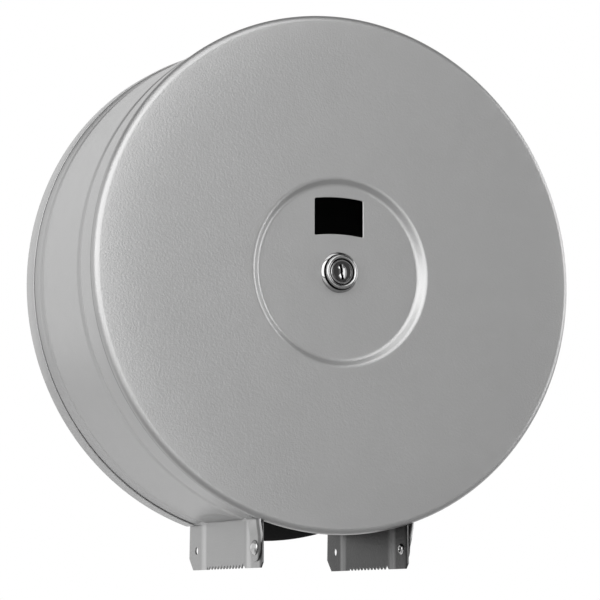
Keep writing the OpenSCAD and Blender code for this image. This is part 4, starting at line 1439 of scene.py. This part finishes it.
@dataclass
class Spindle:
    """The fixed spindle with its base, screws, washers and clip, and the keeper on its end."""

    radius: float = 8.0
    rear: float = 3.3
    tip: float = 97.2
    bore: float = 2.03
    bore_depth: float = 12.0
    chamfer: float = 0.8
    clip_rear: float = 93.7
    clip_front: float = 94.9
    groove: float = 0.8
    clip_outer: float = 10.2
    clip_slot: float = 8.8
    base_radius: float = 32.0
    base_front: float = 5.8
    base_round: float = 0.4
    base_fillet: float = 1.2
    boss_radius: float = 13.0
    boss_front: float = 9.3
    boss_round: float = 0.6
    screw_circle: float = 23.0
    screw_bearings: Triple = (90.0, 210.0, 330.0)
    screw_shank: float = 2.0
    screw_tip: float = 0.1
    screw_head: float = 4.0
    screw_height: float = 2.0
    sunk_head: float = 3.2
    washer_outer: float = 12.5
    washer_inner: float = 8.07
    washers: tuple[Pair, Pair] = ((9.3, 10.3), (92.7, 93.7))
    washer_soft: float = 0.15
    clip_soft: float = 0.2
    keeper_sheet: float = 1.2
    keeper_half: float = 7.0
    keeper_reach: float = 20.7
    keeper_tongue: float = 12.3
    tongue_rear: float = 104.6
    keeper_bend: float = 1.0

    def _bar(self, palette: Palette) -> None:
        """Builds the turned bar with its clip groove and screw bore."""
        r, c = self.radius, self.chamfer
        section = np.array([
            [0.0, self.rear], [r, self.rear], [r, self.clip_rear], [r - self.groove, self.clip_rear],
            [r - self.groove, self.clip_front], [r, self.clip_front], [r, self.tip - c], [r - c, self.tip],
            [self.bore, self.tip], [self.bore, self.tip - self.bore_depth],
            [0.0, self.tip - self.bore_depth - 1.0],
        ])
        place(turned("spindle_bar", section), Body.HOUSING, Slot.TURNED_STEEL, palette, "spindle")

    def _base(self, palette: Palette) -> None:
        """Builds the flanged base, its screws and the two washers."""
        hole, rim, fillet, boss = self.radius + PLAY, self.base_round, self.base_fillet, self.boss_round
        section = np.concatenate([
            [[hole, self.rear], [self.base_radius - rim, self.rear], [self.base_radius, self.rear + rim]],
            arc(self.base_radius - rim, self.base_front - rim, rim, 0, 90, 4),
            arc(self.boss_radius + fillet, self.base_front + fillet, fillet, 270, 180, 6),
            arc(self.boss_radius - boss, self.boss_front - boss, boss, 0, 90, 4),
            [[hole, self.boss_front], [hole, self.rear]],
        ])
        place(turned("base_flange", section), Body.HOUSING, Slot.ZINC_STEEL, palette, "spindle_base")
        screws = Patchwork()
        for a in np.radians(self.screw_bearings):
            Screw(self.screw_circle * math.cos(a), self.screw_circle * math.sin(a), self.screw_shank,
                  self.screw_tip, self.base_front, self.screw_head, self.screw_height).add(screws)
        place(screws.build("base_screw_set"), Body.HOUSING, Slot.ZINC_STEEL, palette, "base_screws")
        finishes = (("washer_rear", Slot.WHITE_NYLON, "rear_washer"),
                    ("washer_front", Slot.ZINC_STEEL, "front_washer"))
        for (name, slot, node), (rear, front) in zip(finishes, self.washers):
            ring = turned(name, ring_section(self.washer_outer, self.washer_inner, rear, front,
                                             self.washer_soft))
            place(ring, Body.HOUSING, slot, palette, node)

    def _clip(self, palette: Palette) -> None:
        """Builds the open clip, whose slot faces down."""
        section = ring_section(self.clip_outer, self.radius - self.groove + PLAY, self.clip_rear,
                               self.clip_front, self.clip_soft)
        half = np.arcsin(self.clip_slot / 2 / section[:, :1])
        share = np.linspace(0.0, 1.0, 81)
        angles = half - math.pi / 2 + (2 * math.pi - 2 * half) * share
        grid = revolve(section, angles)
        work = Patchwork().grid(grid).fill(grid[:-1, 0]).fill(grid[:-1, -1])
        place(work.build("clip_ring"), Body.HOUSING, Slot.TURNED_STEEL, palette, "retaining_clip")

    def keeper(self) -> Patchwork:
        """Surface of the keeper: a foot, a leg and a tongue with bends between them.

        The section is drawn as (reach, depth). Across the plate a point of reach R lies at
        x = -sqrt(R^2 - z^2), so that the leg is a piece of a cylinder.
        """
        s, b = self.keeper_sheet, self.keeper_bend
        half, o = s / 2, self.keeper_bend + self.keeper_sheet
        reach, low, high = self.keeper_reach, self.tip, self.tongue_rear + self.keeper_sheet
        start = self.keeper_half + 1.0
        section = np.concatenate([
            [[start, low]],
            arc(reach - o, low + o, o, -90, 0, 8),
            arc(reach - o, high - o, o, 0, 90, 8),
            arc(self.keeper_tongue + half, high - half, half, 90, 270, 10),
            arc(reach - o, high - o, b, 90, 0, 8),
            arc(reach - o, low + o, b, 0, -90, 8),
            [[start, low + s]],
        ])
        z = np.linspace(-self.keeper_half, self.keeper_half, 17)
        x = -np.sqrt(section[:, :1] ** 2 - z**2)
        grid = at_wall(x, z, section[:, 1:])
        work = Patchwork().grid(grid).fill(grid[:, 0]).fill(grid[:, -1])
        round_end = np.radians(np.linspace(90, -90, 25))
        rim = []
        for row, depth in ((0, low), (-1, low + s)):
            end = circle(self.keeper_half, depth, round_end)
            work.fill(np.concatenate([grid[row], end]))
            rim.append(np.concatenate([grid[row, -1:], end, grid[row, :1]]))
        return work.strip(rim[0], rim[1], around=False)

    def dress(self, palette: Palette) -> None:
        """Builds the spindle group."""
        self._bar(palette)
        self._base(palette)
        self._clip(palette)
        place(self.keeper().build("keeper_plate"), Body.HOUSING, Slot.ZINC_STEEL, palette, "lock_keeper")
        screw = Patchwork()
        Screw(0.0, 0.0, self.screw_shank, self.tip - self.bore_depth, self.tip, self.sunk_head,
              self.keeper_sheet, sunk=True).add(screw)
        place(screw.build("keeper_screw_sunk"), Body.HOUSING, Slot.ZINC_STEEL, palette, "keeper_screw")


@dataclass
class RollHub:
    """The moulded hub that carries the roll, its disc and its two bushes."""

    outer: float = 21.0
    inner: float = 18.5
    core_outer: float = 12.1
    core_inner: float = 9.6
    rear: float = 10.6
    front: float = 92.4
    disc_radius: float = 42.0
    disc_front: float = 13.1
    step: float = 1.0
    lead: float = 1.5
    rib_count: int = 6
    rib: float = 2.0
    rib_setback: float = 2.0
    rib_soft: float = 0.4
    rib_sink: float = 0.5
    tube_soft: float = 0.3
    disc_soft: float = 0.6
    bush_outer: float = 9.57
    bush_inner: float = 8.07
    bush_length: float = 10.0

    def _rib(self, angle: float) -> Array:
        """Closed grid of one rib: its section across, run from the inner to the outer tube."""
        low, high = self.rear + self.rib_setback, self.front - self.rib_setback
        ring = ring_section(self.rib / 2, -self.rib / 2, low, high, self.rib_soft)[:-1]
        reach = np.linspace(self.core_outer - self.rib_sink, self.inner + self.rib_sink, 5)[:, None]
        across, depth = ring[None, :, 0], ring[None, :, 1]
        c, s = math.cos(angle), math.sin(angle)
        return at_wall(reach * c - across * s, reach * s + across * c, depth)

    def dress(self, palette: Palette) -> None:
        """Builds the hub group."""
        tube = np.concatenate([
            [[self.inner, self.rear], [self.outer - self.step, self.rear],
             [self.outer - self.step, self.disc_front], [self.outer, self.disc_front],
             [self.outer, self.front - self.lead]],
            arc(self.outer - self.lead, self.front - self.lead, self.lead, 0, 90, 5)[1:],
            [[self.inner + self.tube_soft, self.front], [self.inner, self.front - self.tube_soft],
             [self.inner, self.rear]],
        ])
        core = ring_section(self.core_outer, self.core_inner, self.rear, self.front, self.tube_soft)
        work = Patchwork()
        for section in (tube, core):
            work.grid(revolve(section, ring_angles(TURNED_STEPS)), around=True)
        for i in range(self.rib_count):
            rib = self._rib(2 * math.pi * i / self.rib_count)
            work.grid(rib, around=True).fill(rib[0]).fill(rib[-1])
        place(work.build("hub_moulding"), Body.HUB, Slot.BLACK_PLASTIC, palette, "roll_hub")
        disc = ring_section(self.disc_radius, self.outer - self.step + PLAY, self.rear, self.disc_front,
                            self.disc_soft)
        place(turned("hub_disc_plate", disc, ROUND_STEPS), Body.HUB, Slot.BLACK_PLASTIC, palette, "hub_disc")
        for name, rear, node in (("bush_rear", self.rear, "rear_bush"),
                                 ("bush_front", self.front - self.bush_length, "front_bush")):
            bush = ring_section(self.bush_outer, self.bush_inner, rear, rear + self.bush_length,
                                self.tube_soft)
            place(turned(name, bush), Body.HUB, Slot.WHITE_NYLON, palette, node)


@dataclass
class CamLock:
    """The cam lock in the cover's dish: barrel, washer, nut, plug, cam and screw."""

    dish: float = 119.5
    collar_radius: float = 12.1
    collar_soft: float = 0.3
    collar_wall: float = 0.7
    collar_round: float = 0.8
    rim_radius: float = 10.3
    neck: float = 0.9
    rim_front: float = 124.8
    rim_round: float = 1.25
    rim_turn: Pair = (-40.0, 180.0)
    gap_rear: float = 122.8
    shoulder: float = 121.7
    shoulder_rise: Pair = (0.15, 0.2)
    shoulder_out: float = 0.5
    head_bore: float = 7.32
    bore: float = 6.07
    step: float = 120.13
    barrel_radius: float = 9.5
    barrel_rear: float = 104.5
    thread_pitch: float = 1.0
    thread_depth: float = 0.45
    thread_rows: int = 91
    barrel_chamfer: float = 0.4
    floor_rear: float = 118.7
    plug_head: float = 7.25
    plug_front: float = 124.2
    plug_soft: float = 0.35
    face_radius: float = 5.6
    face_rim: float = 5.9
    face_sink: float = 0.25
    plug_head_rear: float = 120.2
    plug_radius: float = 6.0
    plug_rear: float = 103.8
    key_half: Pair = (0.8, 4.2)
    eye_half: Pair = (3.0, 4.7)
    eye_depth: float = 0.6
    eye_start: float = -78.0
    key_tilt: float = 8.0
    key_depth: float = 5.0
    washer_radius: float = 15.0
    washer_rear: float = 117.7
    washer_soft: float = 0.15
    nut_flats: float = 25.0
    nut_rear: float = 114.2
    nut_face: float = 0.985
    cam_half: float = 6.0
    cam_reach: float = 18.3
    cam_rear: float = 101.8
    cam_taper: float = 0.7
    cam_corner: float = 1.0
    cam_inset: float = 0.4
    cam_soft: float = 0.3
    cam_washer_rear: float = 101.0
    cam_washer_radius: float = 4.0
    cam_washer_soft: float = 0.12
    screw_bore: float = 2.03
    screw_shank: float = 2.0
    screw_depth: float = 6.0
    screw_head: float = 3.6
    screw_height: float = 1.6

    def _barrel(self, palette: Palette) -> None:
        """Builds the collar and the threaded barrel.

        The thread's radius falls and rises with the fraction of depth over pitch less the turn.
        """
        angles = ring_angles(SMALL_STEPS)
        front = np.concatenate([
            [[self.barrel_radius, self.dish], [self.collar_radius - self.collar_soft, self.dish],
             [self.collar_radius, self.dish + self.collar_soft],
             [self.collar_radius, self.dish + self.collar_wall]],
            arc(self.collar_radius - self.collar_round, self.dish + self.collar_wall, self.collar_round,
                0, 60, 6)[1:],
            [[self.rim_radius + self.shoulder_out, self.shoulder],
             [self.rim_radius, self.shoulder + self.shoulder_rise[0]],
             [self.rim_radius - self.neck, self.shoulder + self.shoulder_rise[1]]],
            arc(self.rim_radius - self.rim_round, self.rim_front - self.rim_round, self.rim_round,
                *self.rim_turn, 22),
            [[self.rim_radius - 2 * self.rim_round, self.gap_rear], [self.head_bore, self.gap_rear],
             [self.head_bore, self.step], [self.bore, self.step], [self.bore, self.barrel_rear]],
        ])
        work = Patchwork().grid(revolve(front, angles), around=True)
        rows = np.linspace(self.barrel_rear, self.dish, self.thread_rows)[:, None]
        wave = 2 * np.abs(np.mod(rows / self.thread_pitch - angles / (2 * math.pi), 1.0) - 0.5)
        fade = smoothstep(self.barrel_rear, self.barrel_rear + 1.5, rows) \
            * smoothstep(self.floor_rear, self.floor_rear - 1.0, rows)
        radius = self.barrel_radius - self.thread_depth * wave * fade \
            - self.barrel_chamfer * smoothstep(self.barrel_rear + 0.5, self.barrel_rear, rows)
        work.grid(circle(radius, rows, angles), around=True)
        end = radius[0, 0]
        work.grid(revolve(np.array([[end, self.barrel_rear], [self.bore, self.barrel_rear]]), angles),
                  around=True)
        place(work.build("lock_body", crease=30), Body.COVER, Slot.LOCK_CHROME, palette, "lock_barrel")

    def key_outline(self, depth: float) -> Array:
        """Outline of the keyway: a tilted slot whose long sides step in and out.

        The corners are shares of the slot's half width and half length. Each side is cut in four.
        """
        corners = self.key_half * np.array([
            [1.0, -1.0], [1.0, -0.45], [0.7, -0.38], [0.7, -0.1], [1.1, -0.02], [1.1, 0.42], [0.8, 0.5],
            [0.8, 1.0], [-0.8, 1.0], [-1.1, 0.92], [-1.1, 0.45], [-0.7, 0.36], [-0.7, 0.05],
            [-1.05, -0.05], [-1.05, -0.5], [-0.8, -0.6], [-0.8, -1.0]])
        share = np.arange(4)[:, None] / 4
        points = np.concatenate([a + (b - a) * share for a, b in zip(corners, np.roll(corners, -1, axis=0))])
        return self._tilted(points, depth)

    def _tilted(self, points: Array, depth: float) -> Array:
        """Turns points of the plug's face by the keyway's tilt and places them at a depth."""
        c, s = math.cos(math.radians(self.key_tilt)), math.sin(math.radians(self.key_tilt))
        return at_wall(points[:, 0] * c - points[:, 1] * s, points[:, 0] * s + points[:, 1] * c, depth)

    def eye(self, depth: float, count: int) -> Array:
        """Oval mouth of the recess round the keyway, from its lower right end round to the left."""
        turn = math.radians(self.eye_start) + ring_angles(count)
        w, h = self.eye_half
        return self._tilted(np.stack([w * np.cos(turn), h * np.sin(turn)], axis=-1), depth)

    def _plug(self, palette: Palette) -> None:
        """Builds the plug, whose face carries the keyway and a fine turned step."""
        angles = ring_angles(SMALL_STEPS)
        face, soft, chamfer = self.plug_front, self.plug_soft, self.barrel_chamfer
        sunk = face - self.face_sink
        bore_end = self.plug_rear + self.screw_depth
        profile = np.array([
            [self.face_radius, sunk], [self.face_rim, face], [self.plug_head - soft, face],
            [self.plug_head, face - soft], [self.plug_head, self.plug_head_rear],
            [self.plug_radius, self.plug_head_rear], [self.plug_radius, self.plug_rear + chamfer],
            [self.plug_radius - chamfer, self.plug_rear], [self.screw_bore, self.plug_rear],
            [self.screw_bore, bore_end], [0.0, bore_end + 1.0],
        ])
        work = Patchwork().grid(revolve(profile, angles), around=True)
        top, low = self.key_outline(sunk - self.eye_depth), self.key_outline(face - self.key_depth)
        eye = self.eye(sunk, len(top))
        work.fill(circle(self.face_radius, sunk, angles), [eye])
        work.strip(eye, top).strip(top, low).fill(low)
        place(work.build("lock_plug_turned", crease=30), Body.LOCK_CORE, Slot.LOCK_CHROME, palette,
              "lock_plug")

    def nut(self) -> Patchwork:
        """Six-sided nut with chamfered corners.

        The flats' radius is half the width over the cosine of the angle from the nearest flat. A
        cone of 30 degrees cuts the corners at both faces.
        """
        angles = ring_angles(SMALL_STEPS)
        flat = self.nut_flats / 2
        turn = np.mod(angles + math.pi / 6, math.pi / 3) - math.pi / 6
        hexagon = flat / np.cos(turn)
        face = flat * self.nut_face
        drop = (hexagon - face) * math.tan(math.radians(30))
        bore = self.barrel_radius + PLAY
        low, high = self.nut_rear, self.washer_rear
        rows = [(bore, low), (face, low), (hexagon, low + drop), (hexagon, high - drop), (face, high),
                (bore, high), (bore, low)]
        grid = np.stack([circle(radius, depth, angles) for radius, depth in rows])
        return Patchwork().grid(grid, around=True)

    def cam(self) -> Patchwork:
        """Flat cam: a rounded head and a tapered blade that points down, with softened edges."""
        h, reach, soft = self.cam_half, self.cam_reach, self.cam_soft
        tip, corner = self.cam_half * self.cam_taper, self.cam_corner
        shift = tip / 2 + self.cam_inset
        outline = np.concatenate([
            arc(0, 0, h, 0, 180, 24),
            [[-h, -reach + tip]],
            arc(shift - h, corner - reach, corner, 200, 270, 5),
            arc(h - shift, corner - reach, corner, 270, 340, 5),
            [[h, -reach + tip]],
        ])
        inset = outline * (1 - soft / np.linalg.norm(outline, axis=1, keepdims=True))
        low, high = self.cam_rear, self.plug_rear
        rows = [(inset, low), (outline, low + soft), (outline, high - soft), (inset, high)]
        grid = np.stack([at_wall(p[:, 0], p[:, 1], d) for p, d in rows])
        holes = [circle(self.screw_bore, depth, ring_angles(HOLE_STEPS)) for depth in (low, high)]
        work = Patchwork().grid(grid, around=True)
        for row, hole in zip((0, -1), holes):
            work.fill(grid[row], [hole])
        return work.strip(*holes)

    def dress(self, palette: Palette) -> None:
        """Builds the lock."""
        self._barrel(palette)
        self._plug(palette)
        washer = ring_section(self.washer_radius, self.barrel_radius + PLAY, self.washer_rear,
                              self.floor_rear, self.washer_soft)
        place(turned("nut_washer", washer), Body.COVER, Slot.ZINC_STEEL, palette, "lock_washer")
        place(self.nut().build("hex_nut", crease=20), Body.COVER, Slot.ZINC_STEEL, palette, "lock_nut")
        place(self.cam().build("cam_blade"), Body.LOCK_CORE, Slot.ZINC_STEEL, palette, "lock_cam")
        small = ring_section(self.cam_washer_radius, self.screw_bore, self.cam_washer_rear, self.cam_rear,
                             self.cam_washer_soft)
        place(turned("cam_washer_ring", small), Body.LOCK_CORE, Slot.ZINC_STEEL, palette, "cam_washer")
        screw = Patchwork()
        Screw(0.0, 0.0, self.screw_shank, self.plug_rear + self.screw_depth, self.cam_washer_rear,
              self.screw_head, self.screw_height, backwards=True).add(screw)
        place(screw.build("cam_screw_pan"), Body.LOCK_CORE, Slot.ZINC_STEEL, palette, "cam_screw")


@dataclass
class HingeRivets:
    """The two hollow-ended rivets that the cover turns on."""

    depth: float = 109.0
    height: float = -162.5
    middle: float = -1.0
    head_at: float = 48.8
    head_radius: float = 4.4
    head_height: float = 2.0
    shank: float = 2.5
    tail_at: float = 46.3
    tail_length: float = 1.1
    tail_radius: float = 3.25
    tail_soft: float = 0.1
    hollow: float = 1.5
    hollow_end: Pair = (1.5, 1.2)
    head_soft: float = 0.15

    def profile(self) -> Array:
        """Section as (distance across, radius): hollow tail with a rolled edge, shank and dome."""
        end = self.tail_at - self.tail_length
        roll = self.tail_length / 2
        dome_r = (self.head_radius**2 + self.head_height**2) / (2 * self.head_height)
        spread = math.degrees(math.asin(self.head_radius / dome_r))
        dome = arc(self.head_at + self.head_height - dome_r, 0.0, dome_r, spread, 0, 10)
        return np.concatenate([
            [[self.tail_at + self.hollow_end[0], 0.0], [self.tail_at + self.hollow_end[1], self.hollow],
             [end + roll, self.hollow]],
            arc(end + roll, self.hollow + roll, roll, 270, 90, 8)[1:],
            [[end + 1.7 * roll, self.tail_radius], [self.tail_at, self.tail_radius - self.tail_soft],
             [self.tail_at, self.shank], [self.head_at, self.shank],
             [self.head_at, self.head_radius - self.head_soft]],
            dome,
        ])

    def dress(self, palette: Palette) -> None:
        """Builds both rivets as one piece."""
        profile, angles = self.profile(), ring_angles(SMALL_STEPS)
        along, radius = profile[:, :1], profile[:, 1:]
        work = Patchwork()
        for side in Side:
            x = self.middle + side.value * along
            work.grid(at_wall(x, self.height + radius * np.sin(angles), self.depth + radius * np.cos(angles)),
                      around=True)
        place(work.build("hinge_rivet_pair"), Body.HOUSING, Slot.BRIGHT_RIVET, palette, "hinge_rivets")


# ------------------------------------------------------------
# Studio
# ------------------------------------------------------------


@dataclass(frozen=True)
class SoftLamp:
    """A rectangular area lamp that faces the object's middle.

    Its bearing is measured from straight ahead of the object towards the left, in degrees.
    """

    name: str
    bearing: float
    height: float
    distance: float
    size: Pair
    radiance: float

    def add(self, target: Vector) -> None:
        """Adds the lamp to the scene, aimed at the target."""
        light = bpy.data.lights.new(self.name, "AREA")
        light.shape = "RECTANGLE"
        light.size, light.size_y = self.size
        light.energy = self.radiance * math.pi * self.size[0] * self.size[1]
        lamp = bpy.data.objects.new(self.name, light)
        bpy.context.scene.collection.objects.link(lamp)
        bearing, level = math.radians(self.bearing), math.radians(self.height)
        away = Vector((-math.sin(bearing) * math.cos(level), -math.cos(bearing) * math.cos(level),
                       math.sin(level)))
        lamp.location = target + away * self.distance
        lamp.rotation_euler = (target - lamp.location).to_track_quat("-Z", "Y").to_euler()


@dataclass
class Studio:
    """Camera, lamps, floor and white surround. Lengths are in metres, bearings in degrees."""

    eye: Triple = (-0.6396, -1.5079, -0.2008)
    forward: Triple = (0.4017, 0.9079, 0.1198)
    lens: float = 156.0
    sensor: float = 36.0
    clip_start: float = 0.01
    aim: Triple = (0.0, -0.06, 0.0)
    floor_z: float = -0.6
    floor_rings: tuple[float, ...] = (0.0, 1.0, 2.0, 4.0)
    floor_steps: int = 64
    floor_front: float = 0.33
    floor_back: float = 0.9
    near_side: float = 0.33
    far_side: float = 1.1
    far_way: Triple = (-0.5, 0.866, 0.0)
    far_rise: Pair = (-0.7, 0.4)
    gap_bearing: float = 116.0
    gap_depth: float = 0.2
    gap_rise: Pair = (0.78, 0.96)
    ceiling_depth: float = 0.9
    ceiling_rise: Pair = (0.46, 0.68)
    backdrop_glow: float = 0.35
    floor_tone: float = 0.9
    floor_glow: float = 0.3
    floor_rough: float = 0.9
    lamps: tuple[SoftLamp, ...] = field(default_factory=lambda: (
        SoftLamp("left front", 30.0, 16.0, 2.2, (3.5, 2.2), 2.05),
        SoftLamp("right", -67.0, 8.0, 2.0, (0.7, 1.6), 2.8),
        SoftLamp("right rear", -105.0, 14.0, 1.8, (1.5, 0.9), 1.0),
        SoftLamp("upper left", 24.0, 64.0, 2.0, (2.2, 0.9), 1.6),
        SoftLamp("top", 3.0, 45.0, 2.0, (2.2, 0.8), 0.95),
    ))

    def camera(self) -> None:
        """Adds the camera at the place and with the lens fitted to the photograph."""
        data = bpy.data.cameras.new("camera")
        data.sensor_width, data.lens, data.clip_start = self.sensor, self.lens, self.clip_start
        camera = bpy.data.objects.new("camera", data)
        bpy.context.scene.collection.objects.link(camera)
        ahead = Vector(self.forward).normalized()
        right = ahead.cross(Vector((0, 0, 1))).normalized()
        turn = Matrix((right, right.cross(ahead), -ahead)).transposed().to_4x4()
        camera.matrix_world = Matrix.Translation(self.eye) @ turn
        bpy.context.scene.camera = camera

    def world(self) -> None:
        """Makes a surround that is white to the camera.

        As a light it rises softly from the right front, where the room is open, to the left and the
        rear, where the white backdrop stands. It has an upright, slightly darker gap between the
        left lamp and the backdrop, and a dark ceiling. Each part is a soft step of the cosine
        between the ray and the part's own direction.
        """
        world = bpy.data.worlds.new("surround")
        world.use_nodes = True
        bpy.context.scene.world = world
        net = Net(world.node_tree)
        back = net.tree.nodes["Background"]
        net.give((1, 1, 1, 1), back.inputs["Color"])

        def part(ray: Socket, way: Triple, rise: Pair, start: float,
                 end: float) -> Socket:
            """Soft step from start to end as the ray turns towards a direction."""
            return net.ramp(net.vector("DOT_PRODUCT", ray, way), *rise, start, end, "SMOOTHSTEP")

        ray = net.add("ShaderNodeTexCoord").outputs["Generated"]
        level_ray = net.vector("NORMALIZE", net.vector("MULTIPLY", ray, (1.0, 1.0, 0.0)))
        bearing = math.radians(self.gap_bearing)
        gap_way = (-math.sin(bearing), -math.cos(bearing), 0.0)
        level = net.product(
            part(ray, self.far_way, self.far_rise, self.near_side, self.far_side),
            part(level_ray, gap_way, self.gap_rise, 1.0, 1.0 - self.gap_depth),
            part(ray, (0.0, 0.0, 1.0), self.ceiling_rise, 1.0, 1.0 - self.ceiling_depth))
        net.give(net.seen(level, 1.0), back.inputs["Strength"])

    def _floor_light(self) -> Tree:
        """Tone and glow of the floor as a light.

        It is dark near the object, like a room's floor, and pale at the far left front and behind the
        wall, where it glows as part of the backdrop.
        """
        group = EffectGroup("floor tone", {
            "Front": self.floor_front, "Back": self.floor_back, "Glow": self.backdrop_glow,
            "Waves per metre": 2.0, "Wave": 0.2, "Slant": 0.5, "Rear end": 0.5}, "Tone", "Glow")
        x, y, _ = group.split(group["Place"])
        uneven = group.product(group.noise(group["Waves per metre"], 2.0), group["Wave"])
        rear = group.ramp(group.plus(y, uneven), 0.0, group["Rear end"])
        away = group.product(group.plus(y, group.product(x, group["Slant"])), -1.0)
        front = group.blend(group.ramp(away, 0.7, 1.3), group["Front"], group["Back"])
        return group.close(Tone=group.blend(rear, front, group["Back"]),
                           Glow=group.product(rear, group["Glow"]))

    def floor(self) -> None:
        """Adds a round floor under the object, as a fan of rings, plain and pale to the camera."""
        reach = np.array(self.floor_rings)[:, None] / MM
        angles = ring_angles(self.floor_steps)
        points = at_wall(reach * np.cos(angles), np.full((1, 1), self.floor_z / MM),
                         -reach * np.sin(angles))
        floor = Patchwork().grid(points, around=True).build("floor")
        shader = Shader("pale floor")
        light = self._floor_light()
        shader.set(Roughness=self.floor_rough, Emission_Color=(1.0, 1.0, 1.0, 1.0),
                   Base_Color=shader.seen(shader.group(light, "Tone"), self.floor_tone),
                   Emission_Strength=shader.seen(shader.group(light, "Glow"), self.floor_glow))
        floor.data.materials.append(shader.material)

    def dress(self) -> None:
        """Sets the whole studio up."""
        bpy.context.scene.view_settings.view_transform = "Standard"
        self.camera()
        self.world()
        self.floor()
        for lamp in self.lamps:
            lamp.add(Vector(self.aim))


def main() -> None:
    """Builds the whole scene."""
    logging.basicConfig(level=logging.INFO, format="%(name)s: %(message)s")
    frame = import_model()
    palette = Palette()
    slots = {part["node"]: part["material_slot"] for part in frame["record"]["subparts"]}
    for node, piece in frame["nodes"].items():
        piece.data.materials.clear()
        piece.data.materials.append(palette[Slot(slots[node])])
    for assembly in (WallTray(), RolledStrip(), StripBrackets(), Spindle(), RollHub(), PressedCover(),
                     CamLock(), HingeRivets()):
        assembly.dress(palette)
        LOG.info("%s is dressed", type(assembly).__name__)
    Studio().dress()


if __name__ == "__main__":
    main()
